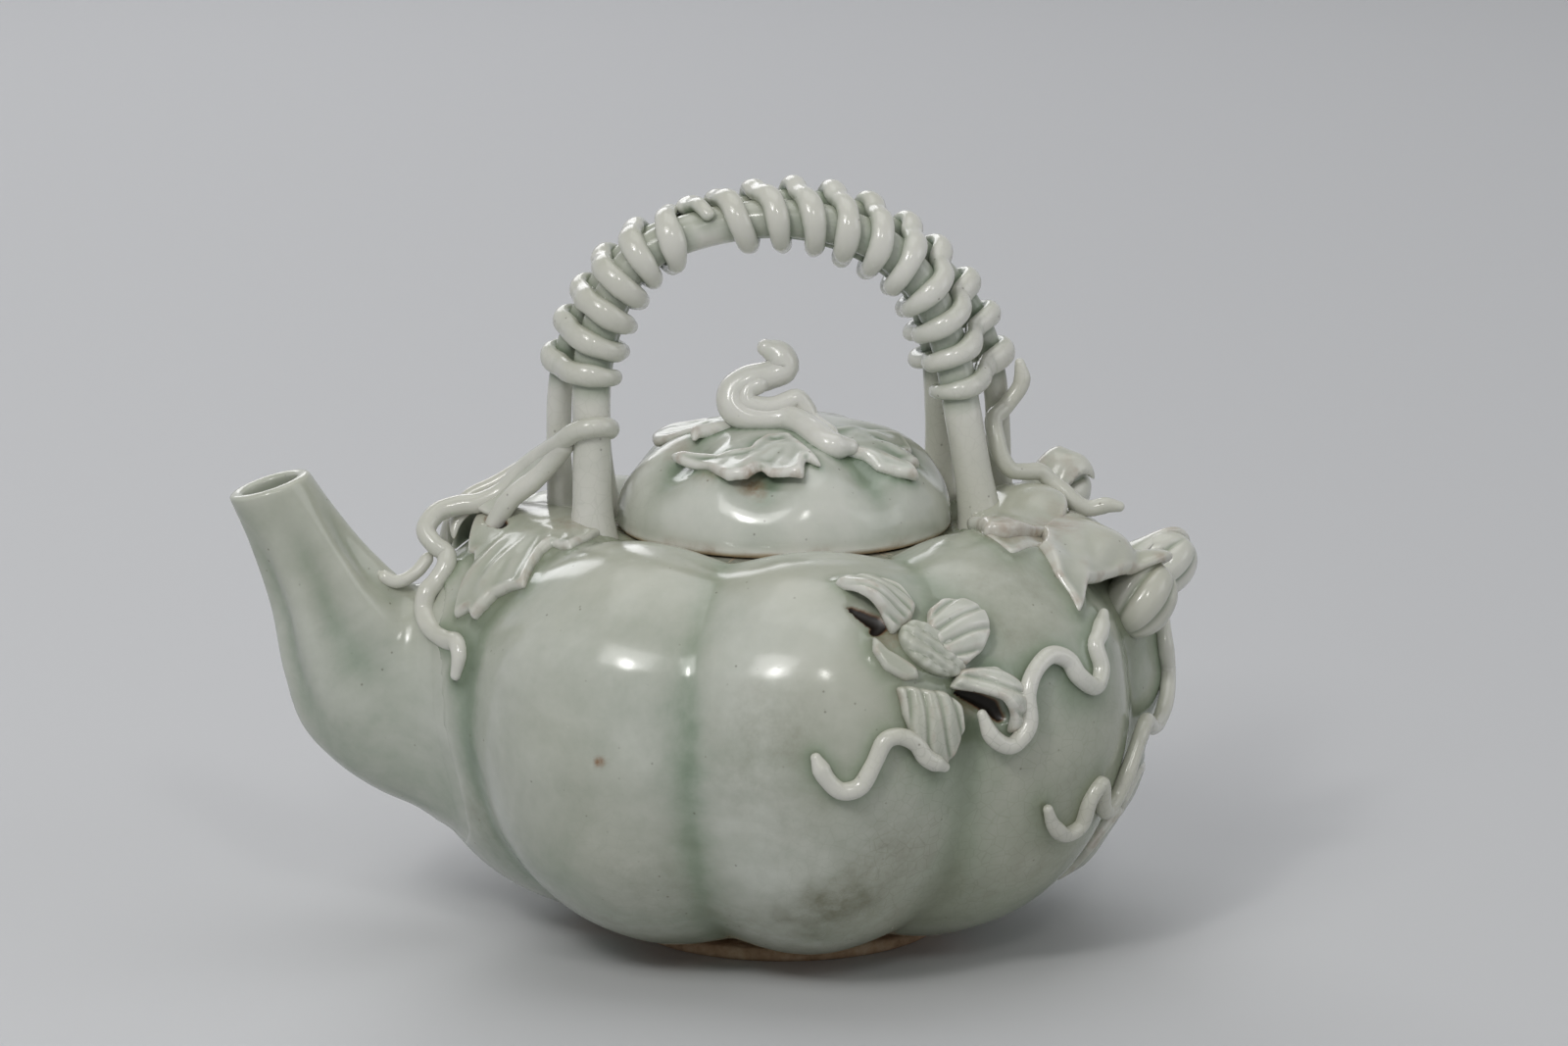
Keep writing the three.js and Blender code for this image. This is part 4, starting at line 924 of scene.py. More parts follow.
# Radius, then a route in space
SPACE_VINES = {
    "shoulder_vine": (1.95, [[-0.51, -0.03, 1.18], [-0.477, -0.055, 1.195], [-0.467, -0.1, 1.21],
        [-0.488, -0.138, 1.222], [-0.525, -0.146, 1.222], [-0.562, -0.125, 1.208], [-0.595, -0.08, 1.176],
        [-0.635, -0.014, 1.136], [-0.685, 0.03, 1.094], [-0.734, 0.04, 1.046], [-0.795, 0.04, 1.019],
        [-0.854, 0.04, 1.013], [-0.907, 0.03, 0.999], [-0.939, 0, 0.964], [-0.919, -0.03, 0.935],
        [-0.892, -0.04, 0.916], [-0.892, -0.068, 0.892], [-0.919, -0.08, 0.857], [-0.946, -0.095, 0.834],
        [-0.954, -0.108, 0.796], [-0.939, -0.162, 0.763], [-0.904, -0.23, 0.75], [-0.881, -0.284, 0.751],
        [-0.878, -0.31, 0.728], [-0.888, -0.31, 0.684]]),
    "shoulder_fold": (2.0, [[-0.575, -0.1, 1.19], [-0.605, -0.065, 1.14], [-0.658, -0.04, 1.084],
        [-0.716, -0.027, 1.041], [-0.753, -0.016, 0.99], [-0.765, -0.012, 0.96], [-0.77, -0.01, 0.925]]),
    "shoulder_back_vine": (1.4, [[-0.45, 0.175, 1.16], [-0.475, 0.212, 1.155], [-0.53, 0.2, 1.14],
        [-0.6, 0.155, 1.115], [-0.684, 0.122, 1.082], [-0.749, 0.122, 1.048], [-0.818, 0.122, 1.018],
        [-0.865, 0.108, 0.965], [-0.885, 0.08, 0.9]]),
    "spout_vine": (1.3, [[-1.062, -0.03, 0.869], [-1.02, -0.045, 0.853], [-0.97, -0.04, 0.872],
        [-0.93, -0.02, 0.91]]),
    "bud_vine": (1.7, [[0.63, 0.04, 1.317], [0.635, 0.04, 1.271], [0.588, 0.027, 1.216], [0.555, 0, 1.194],
        [0.557, -0.027, 1.151], [0.57, -0.04, 1.108], [0.595, -0.04, 1.078], [0.636, -0.027, 1.07],
        [0.678, -0.014, 1.066], [0.703, -0.014, 1.046], [0.735, -0.027, 1.022], [0.769, -0.04, 0.994],
        [0.803, -0.04, 0.981], [0.851, -0.04, 0.987], [0.884, -0.04, 0.983]])}
# Routes of the web's two edges
WEB_EDGES = [
    [[-0.6, -0.075, 1.17], [-0.685, 0.02, 1.09], [-0.734, 0.03, 1.04], [-0.8, 0.03, 1.01]],
    [[-0.6, -0.07, 1.145], [-0.658, -0.04, 1.084], [-0.716, -0.027, 1.041], [-0.75, -0.016, 0.995]]]
LID_STRANDS = {
    "lid_stem": (2.85, [[-0.108, 0, 0.993], [-0.04, 0, 0.9], [-0.002, -0.015, 0.718],
        [-0.105, -0.03, 0.614], [-0.232, -0.046, 0.557], [-0.316, -0.062, 0.414], [-0.328, -0.093, 0.25],
        [-0.26, -0.124, 0.1], [-0.121, -0.155, 0.05], [-0.006, -0.186, 0.07], [0.068, -0.263, 0.03],
        [0.13, -0.402, -0.057], [0.2, -0.526, -0.157], [0.325, -0.508, -0.193]]),
    "lid_stem_strand": (1.95, [[-0.111, -0.068, 0.579], [-0.164, -0.087, 0.529], [-0.232, -0.102, 0.443],
        [-0.238, -0.124, 0.3], [-0.164, -0.142, 0.236], [-0.077, -0.155, 0.236], [0, -0.155, 0.3],
        [0.059, -0.155, 0.343], [0.105, -0.155, 0.214], [0.136, -0.173, 0.057], [0.186, -0.294, -0.029],
        [0.248, -0.418, -0.1]])}


def fine_lid():
    """The dome and its flange as one sheet, from the inside out."""
    angle = np.linspace(0, 360, count(384), endpoint=False)
    share = np.linspace(0, 1, count(120))
    outer = lid_skin.at(angle[None], share[:, None])
    fade = np.minimum(1, np.minimum(share * 9, (1 - share) * 9))[:, None]
    swell = 0.22 * lumps(outer, 16.0, 1.3) * fade
    outer = outer + unit(outer - [0, 0, LID_BASE]) * swell[..., None]
    inner = lid_skin.at(angle[None], np.linspace(0.97, 0.46, count(20))[:, None], -LID_WALL)
    foot = LID_BASE - FLANGE_DEPTH
    profile = [
        (FLANGE_BORE, LID_BASE + LID_WALL / 2), (FLANGE_BORE, foot + FLANGE_EDGE),
        (FLANGE_BORE + FLANGE_EDGE, foot), (FLANGE_RADIUS - FLANGE_EDGE, foot),
        (FLANGE_RADIUS, foot + FLANGE_EDGE), (FLANGE_RADIUS, LID_BASE), (LID_RADIUS - 2.6, LID_BASE),
        (LID_RADIUS - 1.2, LID_BASE + 0.02), (LID_RADIUS - 0.4, LID_BASE + 0.35)]
    flange = [circle(angle * RAD, radius, height) for radius, height in profile]
    return lattice(np.concatenate([inner, *flange, outer]), True, True)


spout_mesh, spout_edge = fine_spout()
keep("glazed_body", fine_body(spout_edge), "body_shell", relief=BODY_RELIEF)
keep("bare_foot", fine_foot(), "foot_disc")
keep("glazed_spout", spout_mesh, "spout", body_skin, SPOUT_RELIEF)
for i, side_name in enumerate(("front", "back", "outer")):
    keep("stem_" + side_name, fine_stem(i), "handle_stem_" + side_name, body_skin, STEM_RELIEF)
for side_name, route in TENDRILS.items():
    keep("tendril_" + side_name, winding(*route), "handle_tendril_" + side_name)
for i, (place, size, up, axis) in enumerate(BUDS):
    mesh = melon_bud(place, size, up, axis, seed=3.0 + i)
    keep("bud_%d" % (i + 1), mesh, "melon_bud_%d" % (i + 1), body_skin, BUD_RELIEF)
keep("flower_heart", flower_centre(), "flower_centre", body_skin, FLOWER_RELIEF)
for i, petal in enumerate(PETALS):
    clay = {"ridge": PETAL_RIDGE, "thick": PETAL_THICKNESS, "rim": 0.0, "seed": 1.0 + i, "step": 0.2}
    mesh = sheet(body_skin, **clay, **petal)
    keep("petal_%d" % (i + 1), mesh, "flower_petal_%d" % (i + 1), body_skin, PETAL_RELIEF)
for name, sheets in LEAVES.items():
    mesh = joined([sheet(body_skin, seed=3.0 + i, **each) for i, each in enumerate(sheets)])
    keep("clay_" + name, mesh, name, body_skin, LEAF_RELIEF)
for k, (name, (radius, table)) in enumerate(CREEPERS.items()):
    keep("clay_" + name, creeper(table, radius, seed=5.0 + k), name, body_skin)
keep("clay_shoulder_web", web(*map(space_curve, WEB_EDGES), WEB_THICKNESS), "shoulder_vine", body_skin)
for k, (name, (radius, table)) in enumerate(SPACE_VINES.items()):
    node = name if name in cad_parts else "shoulder_vine"
    mesh = vine(space_curve(table), radius, spacing=0.5, sides=18, seed=9.0 + k)
    keep("clay_" + name, mesh, node, body_skin)
keep("glazed_lid", fine_lid(), "lid_dome", relief=LID_RELIEF, body="lid")
for k, (name, (radius, table)) in enumerate(LID_STRANDS.items()):
    curve = Curve(scaled(table, LID_RADIUS, LID_RADIUS, FINIAL_RISE) + [0, 0, LID_BASE + LID_RISE])
    mesh = vine(curve, radius, spacing=0.45, sides=20, seed=12.0 + k)
    keep("clay_" + name, mesh, name, lid_skin, body="lid")
for name, sheets in LID_LEAVES.items():
    mesh = joined([sheet(lid_skin, ridge=LID_LEAF_RIDGE, rim=0.25, **each) for each in sheets])
    keep("clay_" + name, mesh, name, lid_skin, LEAF_RELIEF, "lid")


# How the glaze lies: thin and white on edges, pooled and green in hollows, with painted shade and painted
# shadows added


def tree_of(names):
    """A tree of every third point of the pieces named."""
    points = np.concatenate([made[n]["mesh"][0][::3] for n in names])
    tree = kdtree.KDTree(len(points))
    for i, p in enumerate(points):
        tree.insert(p, i)
    tree.balance()
    return tree


def distance_to(tree, points, most):
    """Distances from points to the nearest in a tree, cut at a most."""
    return np.array([min(tree.find(p)[2], most) for p in points])


shells = ["glazed_body", "bare_foot", "glazed_spout", "glazed_lid"]
strands = ["tendril_left", "tendril_right"]
stems = ["stem_front", "stem_back", "stem_outer"]
trees = {"strands": tree_of(strands), "stems": tree_of(stems)}
for body in ("kettle", "lid"):
    trees[body] = tree_of([n for n, p in made.items() if p["body"] == body and n not in shells])

# From 0, thin and white, to 1, deep and green; painted shade rides on the same scale
MEAN_POOL = 0.42
SPOUT_POOL = 0.53
# Strength and reach in millimetres: round the ornament, between strands, and over the skin
HALO = ((0.46, 1.0), (0.34, 3.2))
CREVICES = {"stems": (0.85, 2.0), "strands": (0.8, 2.8)}
STEM_FOOT = (0.3, 1.5)
SPOUT_EDGE = (-0.08, 3.0)
APPLIED_EDGE = (0.4, 0.8)

# Hollows as paths of angle, share and half width, sunk and painted near black as shadow; dirt, and rust that
# partly stands for painted shadow, as angle, share, radius and strength
SHADOWED_HOLLOWS = [
    [(274.0, 0.772, 0.5), (275.7, 0.763, 1.1), (277.4, 0.753, 1.6), (278.8, 0.742, 1.5), (277.3, 0.73, 0.9)],
    [(290.6, 0.629, 0.5), (292.8, 0.62, 1.1), (294.8, 0.61, 1.5), (296.4, 0.597, 1.6), (297.4, 0.582, 1.0)],
    [(178.5, 0.818, 0.8), (181.5, 0.826, 1.6), (184.5, 0.833, 1.0)]]
DIRT = [
    (270.5, 0.287, 9.0, 1.0), (267.5, 0.26, 8.0, 0.9), (274.0, 0.304, 9.0, 0.8), (261.0, 0.58, 11.0, 0.45),
    (258.0, 0.52, 9.0, 0.4), (265.0, 0.48, 14.0, 0.3), (278.5, 0.375, 11.0, 0.5), (308.5, 0.77, 10.0, 0.4),
    (301.5, 0.79, 9.0, 0.35), (225.0, 0.17, 11.0, 0.45), (312.0, 0.38, 12.0, 0.4), (303.0, 0.72, 8.0, 0.4),
    (240.0, 0.3, 14.0, 0.3), (290.0, 0.22, 12.0, 0.5), (255.0, 0.2, 12.0, 0.5), (200.0, 0.35, 10.0, 0.3)]
# Brown blots by raised leaves, leaf tips and petals: partly rust stain, partly painted shadow beneath the
# raised clay
RUST_AND_SHADOW = [
    (320.0, 0.875, 4.5, 0.6), (328.0, 0.858, 4.5, 0.7), (336.0, 0.845, 4.5, 0.65), (345.0, 0.835, 4.0, 0.5),
    (172.5, 0.85, 4.0, 0.6), (178.0, 0.83, 4.0, 0.5), (234.5, 0.525, 1.1, 1.0), (194.0, 0.925, 4.5, 0.4),
    (170.0, 0.88, 6.0, 0.4), (279.5, 0.72, 3.0, 0.5), (292.0, 0.61, 3.0, 0.45)]
LID_RUST_AND_SHADOW = [
    (250.0, 0.335, 2.6, 0.95), (253.0, 0.3, 1.8, 0.7), (195.0, 0.475, 3.0, 0.35), (230.0, 0.36, 3.0, 0.3)]


def slots(points, rough):
    """How deep points lie in the hollows, from 0 to 1; the same value paints their shadow near black."""
    total = np.zeros(len(points))
    rough = 1 + rough * lumps(points, 1.8, 7.0)
    for path in SHADOWED_HOLLOWS:
        places = [body_skin.at(np.array(a), np.array(b)) for a, b, _ in path]
        for i in range(len(path) - 1):
            away, share = line_distance(points, places[i], places[i + 1])
            width = (path[i][2] * (1 - share) + path[i + 1][2] * share) * rough
            total = np.maximum(total, 1.35 - away / width)
    return np.clip(total, 0, 1)


def blots(points, skin, table):
    """How strong the blots of a table are at points."""
    total = np.zeros(len(points))
    rough = 1 + 0.3 * lumps(points, 2.6, 7.0)
    for angle, share, radius, strength in table:
        centre = skin.at(np.array(angle, float), np.array(share, float))
        up = skin.normal(angle, share)
        off = points - centre
        high = off @ up
        away = np.sqrt((off**2).sum(1) - high**2 + np.maximum(np.abs(high) - 5, 0) ** 2) / (radius * rough)
        total = np.maximum(total, strength * np.clip(1.35 - away, 0, 1))
    return np.clip(total, 0, 1)


def fading(distance, strength, reach):
    return strength * np.exp(-distance / reach)


def between(values, start, end):
    """From 0 where values are at or before a start to 1 where they are at or past an end."""
    return np.clip((values - start) / (end - start), 0, 1)


def halo(body, verts, small, large):
    """Glaze on a broad wall, pooled round the ornament, and the distance to the ornament."""
    near = distance_to(trees[body], verts, 9.0)
    return MEAN_POOL - 0.1 * small - 0.29 * large + sum(fading(near, *each) for each in HALO), near


def dress_body(look, verts, small, large):
    """Fill in the body's look; the result is how far fillets and hollows lift its points."""
    x, y, z = verts.T
    pool_and_shade, near = halo("kettle", verts, small, large)
    # Hollows under the petals and the leaf, sunk and painted near black as shadow
    look["hollow_and_shadow"] = slots(verts, 0.2)
    look["dirt"], look["rust_and_shadow"] = (blots(verts, body_skin, table) for table in (DIRT, RUST_AND_SHADOW))
    edge = 5.2 + 1.1 * lumps(verts, 9.0, 2.0)
    ledge = (np.hypot(x, y) < LEDGE_RADIUS) & (z > LEDGE - 0.4)
    look["bare"] = np.maximum(between(z, edge, edge - 0.8), ledge)
    seams = valley(np.degrees(np.arctan2(y, x)), 0.1) ** 3
    # The last two terms are painted shade: the body darkens toward its foot and toward its right (+x) side
    look["pool_and_shade"] = pool_and_shade + 0.2 * seams + 0.16 * between(z, 36, 12) + 0.1 * between(x, 0, 40)
    fillet = FILLET_HEIGHT * bell(near / FILLET_REACH) * (z < SHOULDER + 3)
    return fillet - HOLE_DEPTH * look["hollow_and_shadow"]


def dress_lid(look, verts, small, large):
    x, y, z = verts.T
    rim = np.hypot(x, y)
    pool_and_shade, _ = halo("lid", verts, small, large)
    flutes = valley(np.degrees(np.arctan2(y, x)) - LID_TURN, 0.5) ** 2
    look["pool_and_shade"] = pool_and_shade + 0.32 * flutes * bell((rim / LID_RADIUS - 0.8) / 0.24) - 0.13
    outside = rim > FLANGE_RADIUS - 4
    low = between(z, LID_BASE + 3.2, LID_BASE + 0.2) * outside
    stain = 0.8 * low * np.clip(0.3 + 1.6 * lumps(verts, 5.0, 9.0), 0, 1)
    look["rust_and_shadow"] = np.maximum(blots(verts, lid_skin, LID_RUST_AND_SHADOW), stain)
    edge = LID_BASE + 1.2 + 0.6 * lumps(verts, 6.0, 2.0)
    look["bare"] = between(z, edge, edge - 0.7) * outside


def dress_spout(look, verts, small, large):
    over = np.maximum(body_skin.onto(verts)[2], 0)
    pool_and_shade = SPOUT_POOL - 0.1 * small - 0.14 * large + fading(over, *SPOUT_EDGE)
    # Painted shade: the spout darkens toward its lower end
    look["pool_and_shade"] = pool_and_shade + 0.08 * between(verts[:, 2], 50, 30)


def dress_handle(look, verts, other):
    """Deep glaze where the stems and the strands wound round them meet, and at the stems' feet."""
    depth, reach = CREVICES[other]
    look["pool_and_shade"] += depth * bell(distance_to(trees[other], verts, 6.0) / reach) - 0.1
    if other == "strands":
        look["pool_and_shade"] += fading(np.maximum(body_skin.onto(verts)[2], 0), *STEM_FOOT)


def dress_applied(look, name, skin, verts, normal, small, large):
    """Fill in the look of applied clay; the result is how far a hollow lifts its points."""
    height = skin.onto(verts)[2]
    look["pool_and_shade"] += fading(np.maximum(height, 0), *APPLIED_EDGE) - 0.04
    if name.startswith("bud_"):
        look["pool_and_shade"] -= 0.1
    if "leaf" in name or "petal" in name:
        thin = np.clip(small * 1.2 + large * 0.5, 0, 1)
        look["rust_and_shadow"] = 0.36 * thin * np.clip(lumps(verts, 3.0, 4.0) * 3, 0, 1)
        look["pool_and_shade"] -= 0.08 * between(height, 2, 5)
    if "leaf" in name:
        # Brown blots by the leaves' raised edges, partly rust and partly painted shadow
        table = LID_RUST_AND_SHADOW if skin is lid_skin else RUST_AND_SHADOW
        look["rust_and_shadow"] = np.maximum(look["rust_and_shadow"], 0.8 * blots(verts, skin, table))
    if name == "clay_shoulder_leaf_front":
        # The leaf's undercut hollow, sunk and painted near black as shadow
        look["hollow_and_shadow"] = slots(verts - normal * 2.0, 0.4)
    return -LEAF_HOLE_DEPTH * look["hollow_and_shadow"]


def dressed(name, piece):
    """A piece's values for the glaze at its points, and its points lifted by fillets and hollows."""
    verts, faces = piece["mesh"]
    edges = edges_of(faces)
    normal = normals_of(verts, faces)
    small, large = (
        np.clip(((verts - relax(verts, edges, max(1, int(rounds * FINE)))) * normal).sum(1) / amp, -1, 1)
        for rounds, amp in zip(*piece["relief"]))
    upward = np.clip(normal[:, 2], 0, 1)
    look = {"pool_and_shade": MEAN_POOL - 0.2 * small - 0.3 * large}
    look.update({key: np.zeros(len(verts)) for key in ("hollow_and_shadow", "dirt", "rust_and_shadow", "bare")})
    look["warm"] = upward**1.5 if piece["body"] == "kettle" else 0.25 * upward
    lift = np.zeros(len(verts))
    if name == "glazed_body":
        lift = dress_body(look, verts, small, large)
    elif name == "glazed_lid":
        dress_lid(look, verts, small, large)
    elif name == "glazed_spout":
        dress_spout(look, verts, small, large)
    elif name == "bare_foot":
        look["bare"] += 1
    elif name in strands or name in stems:
        dress_handle(look, verts, "stems" if name in strands else "strands")
    else:
        lift = dress_applied(look, name, piece["skin"], verts, normal, small, large)
    look["pool_and_shade"] = np.clip(look["pool_and_shade"], 0, 1)
    return look, verts + normal * lift[:, None]


# Materials

# Tones by the glaze's depth and painted shade, and by the clay's grain
GLAZE_TONES = [
    (0.0, (0.75, 0.745, 0.695)), (0.28, (0.6, 0.622, 0.56)), (0.5, (0.455, 0.485, 0.42)),
    (0.72, (0.265, 0.33, 0.25)), (1.0, (0.1, 0.155, 0.092))]
CLAY_TONES = [(0.25, (0.23, 0.13, 0.065)), (0.5, (0.45, 0.31, 0.185)), (0.75, (0.6, 0.47, 0.32))]
DRIFT_COLOUR = (0.4, 0.4, 0.3, 1)
AGED_COLOUR = (0.425, 0.425, 0.325, 1)
CRACK_COLOUR = (0.2, 0.22, 0.15, 1)
SMUDGE_COLOUR = (0.17, 0.17, 0.105, 1)
SPECK_COLOUR = (0.075, 0.055, 0.03, 1)
IRON_COLOUR = (0.28, 0.13, 0.045, 1)
# Brown of rust stains, and of painted shadow under raised leaf and petal edges
RUST_AND_SHADOW_COLOUR = (0.25, 0.13, 0.055, 1)
# Painted shadow in the undercut hollows: its brown rim, then near black
UNDERCUT_SHADOW_RIM_COLOUR = (0.2, 0.1, 0.045, 1)
UNDERCUT_SHADOW_COLOUR = (0.012, 0.008, 0.005, 1)
GLAZE_IOR = 1.55
GLAZE_SUBSURFACE = 0.12


def add_node(tree, kind, inputs, **settings):
    """The outputs of a new node with its settings, each input given being set or linked."""
    node = tree.nodes.new("ShaderNode" + kind)
    for key, value in settings.items():
        setattr(node, key, value)
    for key, value in inputs.items():
        if isinstance(value, bpy.types.NodeSocket):
            tree.links.new(value, node.inputs[key])
        else:
            node.inputs[key].default_value = value
    return node.outputs


class Nodes:
    """Short forms for a material's nodes, with scales in waves or cells for each metre."""

    def __init__(self, tree):
        self.tree = tree
        self.place = add_node(tree, "TexCoord", {})["Object"]

    def kept(self, key):
        return add_node(self.tree, "Attribute", {}, attribute_name=key)["Fac"]

    def cloud(self, scale, detail, rough=0.5, distortion=0.0):
        inputs = {"Vector": self.place, "Scale": scale, "Detail": detail, "Roughness": rough}
        return add_node(self.tree, "TexNoise", {**inputs, "Distortion": distortion})["Fac"]

    def cells(self, scale, **settings):
        return add_node(self.tree, "TexVoronoi", {"Vector": self.place, "Scale": scale}, **settings)

    def reckon(self, op, *values, clamp=False):
        return add_node(self.tree, "Math", dict(enumerate(values)), operation=op, use_clamp=clamp)[0]

    def times(self, a, b, clamp=False):
        return self.reckon("MULTIPLY", a, b, clamp=clamp)

    def line(self, value, slope, start, clamp=False):
        return self.reckon("MULTIPLY_ADD", value, slope, start, clamp=clamp)

    def above(self, value, low, high):
        return self.line(value, 1 / (high - low), -low / (high - low), True)

    def stirred(self, value, noise, size):
        """A value that a noise moves up and down."""
        return self.line(self.reckon("SUBTRACT", noise, 0.5), size, value)

    def patchy(self, key, noise, low, high):
        """A kept value, where a noise is high."""
        return self.times(self.kept(key), self.above(noise, low, high), True)

    def spots(self, scale, size, spread):
        """Dots of a size in a share of the cells."""
        cell = self.cells(scale)
        red = add_node(self.tree, "SeparateColor", {0: cell["Color"]})[0]
        chosen = self.reckon("GREATER_THAN", red, 1 - spread)
        return self.times(chosen, self.line(cell["Distance"], -1 / size, 1.0, True), True)

    def ramp(self, value, stops):
        node = self.tree.nodes.new("ShaderNodeValToRGB")
        while len(node.color_ramp.elements) < len(stops):
            node.color_ramp.elements.new(0.5)
        for element, (at, colour) in zip(node.color_ramp.elements, stops):
            element.position = at
            element.color = (*colour, 1)
        self.tree.links.new(value, node.inputs[0])
        return node.outputs[0]


def glaze_colour(nodes, bare, hollow_and_shadow, smudge):
    """The tone of the glaze by its depth and by painted shade, and over it stains, cracks, specks and clay,
    rust marks that partly paint shadow under raised clay, and the hollows painted near black as shadow.
    """
    pool_and_shade = nodes.stirred(nodes.kept("pool_and_shade"), nodes.cloud(30.0, 5.0, 0.6, 0.6), 0.7)
    pool_and_shade = nodes.stirred(pool_and_shade, nodes.cloud(240.0, 3.0, 0.6), 0.18)
    colour = nodes.ramp(pool_and_shade, GLAZE_TONES)
    drift = nodes.times(nodes.above(nodes.cloud(13.0, 2.0), 0.42, 0.68), 0.55)
    aged = nodes.times(nodes.patchy("warm", nodes.cloud(45.0, 4.0, 0.6), 0.2, 0.65), 0.6)
    crack = nodes.above(nodes.cells(420.0, feature="DISTANCE_TO_EDGE")["Distance"], 0.0, 0.05)
    crack = nodes.reckon("SUBTRACT", 1.0, crack, clamp=True)
    crazed = nodes.times(nodes.times(crack, nodes.above(nodes.cloud(9.0, 2.0), 0.5, 0.7)), 0.3)
    # Rust stains, partly painted shadow under raised clay
    rust_and_shadow_share = nodes.patchy("rust_and_shadow", nodes.cloud(420.0, 4.0, 0.7), 0.25, 0.66)
    # Painted shadow in the undercut hollows, stirred by noise
    undercut_shadow = nodes.stirred(hollow_and_shadow, nodes.cloud(500.0, 4.0, 0.7), 0.2)
    layers = [
        (drift, DRIFT_COLOUR), (aged, AGED_COLOUR), (crazed, CRACK_COLOUR), (smudge, SMUDGE_COLOUR),
        (nodes.times(nodes.spots(520.0, 0.17, 0.1), 0.7), SPECK_COLOUR),
        (nodes.times(nodes.spots(75.0, 0.06, 0.05), 0.75), IRON_COLOUR),
        (rust_and_shadow_share, RUST_AND_SHADOW_COLOUR), (bare, nodes.ramp(nodes.cloud(190.0, 5.0, 0.7), CLAY_TONES)),
        (nodes.above(undercut_shadow, 0.12, 0.45), UNDERCUT_SHADOW_RIM_COLOUR), (nodes.above(undercut_shadow, 0.35, 0.6), UNDERCUT_SHADOW_COLOUR)]
    for share, over in layers:
        colour = add_node(nodes.tree, "Mix", {0: share, 6: colour, 7: over}, data_type="RGBA")[2]
    return colour


def glaze_roughness(nodes, bare, hollow_and_shadow, smudge):
    """Glossy glaze, duller under dirt, and matt where the clay is bare."""
    rough = nodes.line(nodes.cloud(60.0, 3.0, 0.6), 0.14, 0.09)
    matt = nodes.reckon("MAXIMUM", bare, nodes.times(hollow_and_shadow, 0.8))
    rough = nodes.reckon("ADD", rough, nodes.times(matt, 0.6))
    return nodes.reckon("ADD", rough, nodes.times(smudge, 0.25), clamp=True)


def glaze_bump(nodes, bare):
    """Soft unevenness and pinholes in the glaze, and grain on the bare clay."""
    peel = nodes.times(nodes.cloud(900.0, 3.0, 0.6), 0.12)
    peel = nodes.line(nodes.cloud(150.0, 2.0), 0.5, peel)
    peel = nodes.reckon("SUBTRACT", peel, nodes.times(nodes.spots(420.0, 0.16, 0.12), 0.5))
    peel = nodes.reckon("ADD", peel, nodes.times(bare, nodes.cloud(1100.0, 5.0, 0.8)))
    return add_node(nodes.tree, "Bump", {"Strength": 0.22, "Distance": 0.0004, "Height": peel})[0]


def glaze_material(name, subsurface):
    """Celadon over clay: the values kept on each piece place its tones and painted shade, its stains, the
    painted shadow in its hollows, and its bare rims.
    """
    mat = bpy.data.materials.new(name)
    mat.use_nodes = True
    mat.node_tree.nodes.clear()
    nodes = Nodes(mat.node_tree)
    bare = nodes.kept("bare")
    hollow_and_shadow = nodes.kept("hollow_and_shadow")
    smudge = nodes.patchy("dirt", nodes.cloud(170.0, 4.0, 0.7), 0.25, 0.7)
    shader = add_node(nodes.tree, "BsdfPrincipled", {
        "Base Color": glaze_colour(nodes, bare, hollow_and_shadow, smudge),
        "Roughness": glaze_roughness(nodes, bare, hollow_and_shadow, smudge),
        "Normal": glaze_bump(nodes, bare), "IOR": GLAZE_IOR,
        "Subsurface Weight": subsurface, "Subsurface Radius": (0.9, 1.0, 0.75), "Subsurface Scale": 0.0022})
    add_node(nodes.tree, "OutputMaterial", {"Surface": shader["BSDF"]})
    return mat


glaze = glaze_material("celadon_glaze", GLAZE_SUBSURFACE)
biscuit = glaze_material("bare_clay", 0.0)

for name, piece in made.items():
    look, verts = dressed(name, piece)
    obj = mesh_object(name, verts * MM, piece["mesh"][1])
    for key, values in look.items():
        layer = obj.data.attributes.new(key, "FLOAT", "POINT")
        layer.data.foreach_set("value", values.astype(np.float32))
    obj.data.polygons.foreach_set("use_smooth", np.ones(len(obj.data.polygons), bool))
    obj.data.materials.append(biscuit if name == "bare_foot" else glaze)
    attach(obj, piece["body"])
    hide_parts(piece["node"])

# Floor, lights and camera

floor_rings = [circle(turns(96), radius, 0.0) for radius in (9.0, 1.5, 0.4, 0.02)]
floor = mesh_object("floor", *lattice(np.concatenate(floor_rings), False, True))
paper = bpy.data.materials.new("floor_paper")
paper.use_nodes = True
PAPER = {"Base Color": (0.6, 0.605, 0.615, 1), "Roughness": 0.6, "Specular IOR Level": 0.25}
for key, value in PAPER.items():
    paper.node_tree.nodes["Principled BSDF"].inputs[key].default_value = value
floor.data.materials.append(paper)

world = bpy.data.worlds.new("studio")
bpy.context.scene.world = world
world.use_nodes = True
sky = world.node_tree
sky.nodes.clear()
seen = add_node(sky, "Background", {0: (0.66, 0.67, 0.69, 1)})[0]
lit = add_node(sky, "Background", {0: (0.84, 0.85, 0.87, 1), 1: 0.28})[0]
ray = add_node(sky, "LightPath", {})
shown = ray["Is Camera Ray"]
for kind in ("Is Transmission Ray", "Is Glossy Ray"):
    shown = add_node(sky, "Math", {0: shown, 1: ray[kind]}, operation="MAXIMUM")[0]
mix = add_node(sky, "MixShader", {0: shown, 1: lit, 2: seen})[0]
add_node(sky, "OutputWorld", {0: mix})

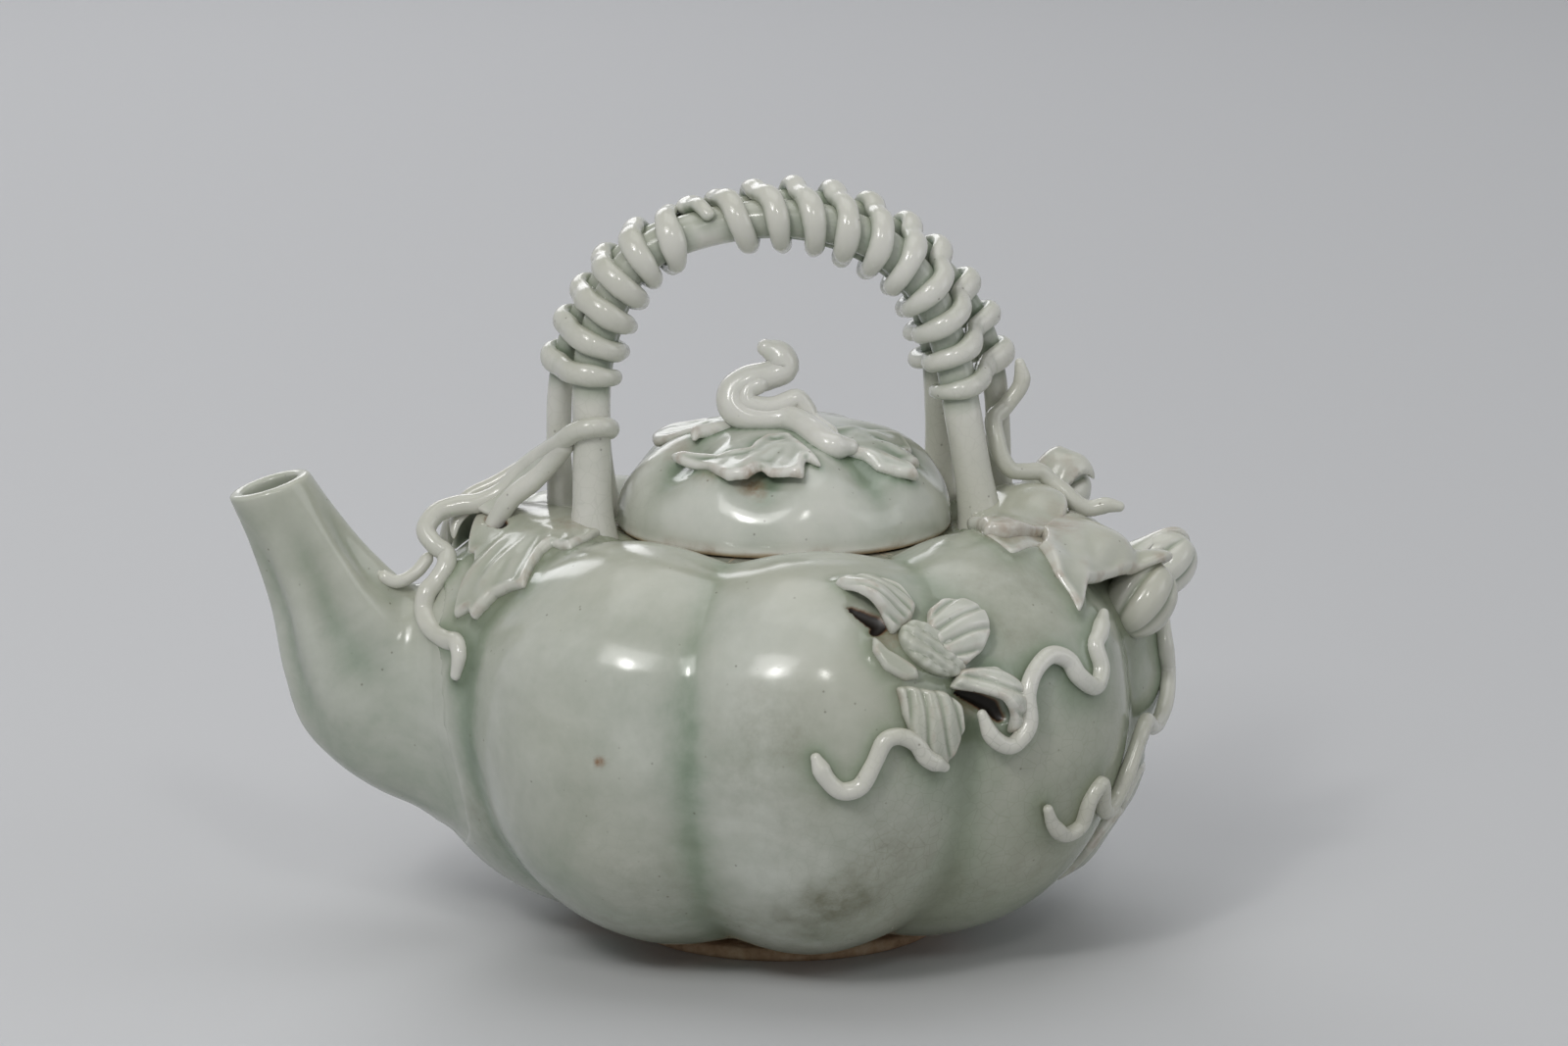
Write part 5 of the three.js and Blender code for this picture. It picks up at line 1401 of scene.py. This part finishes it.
# Place, height of the aim, size, power and colour
LAMPS = {
    "window": ((-0.8, -1.2, 1.2), 0.06, (0.16, 0.3), 4.6, (1.0, 0.99, 0.97)),
    "second_window": ((0.1, -1.6, 1.2), 0.06, (0.1, 0.3), 2.6, (1.0, 0.99, 0.96)),
    "softbox": ((-1.1, -1.5, 1.9), 0.06, (1.1, 0.9), 13.5, (1.0, 0.995, 0.98)),
    "overhead": ((0.1, 0.2, 1.9), 0.05, (1.5, 1.5), 7.5, (0.98, 0.99, 1.0)),
    "fill": ((1.7, -0.7, 0.8), 0.06, (1.0, 1.0), 3.2, (0.97, 0.98, 1.0)),
    "back_fill": ((-0.3, 1.7, 1.0), 0.06, (1.0, 0.8), 6.0, (0.98, 0.98, 1.0))}
for name, (place, aim, size, power, colour) in LAMPS.items():
    lamp = bpy.data.lights.new(name, "AREA")
    lamp.shape = "RECTANGLE"
    lamp.size, lamp.size_y = size
    lamp.energy = power
    lamp.color = colour
    obj = bpy.data.objects.new(name, lamp)
    obj.location = place
    obj.rotation_euler = (Vector((0, 0, aim)) - Vector(place)).to_track_quat("-Z", "Y").to_euler()
    bpy.context.scene.collection.objects.link(obj)

# The photograph's view, with its scale at the object as millimetres for each of its pixels
PHOTO_WIDTH = 1600
MM_PER_PIXEL = 0.19
AZIMUTH = -7.5 * RAD
ELEVATION = 12 * RAD
DISTANCE = 1.2
AIM_HEIGHT = 0.0795
SENSOR = 36.0
cam_data = bpy.data.cameras.new("photo_camera")
camera = bpy.data.objects.new("photo_camera", cam_data)
bpy.context.scene.collection.objects.link(camera)
level = math.cos(ELEVATION)
back = Vector((math.sin(AZIMUTH) * level, -math.cos(AZIMUTH) * level, math.sin(ELEVATION)))
camera.location = Vector((0, 0, AIM_HEIGHT)) + back * DISTANCE
camera.rotation_euler = (-back).to_track_quat("-Z", "Y").to_euler()
cam_data.sensor_width = SENSOR
cam_data.lens = SENSOR * DISTANCE / MM / (PHOTO_WIDTH * MM_PER_PIXEL)
cam_data.clip_start = 0.05
bpy.context.scene.camera = camera
bpy.context.scene.view_settings.view_transform = "Standard"
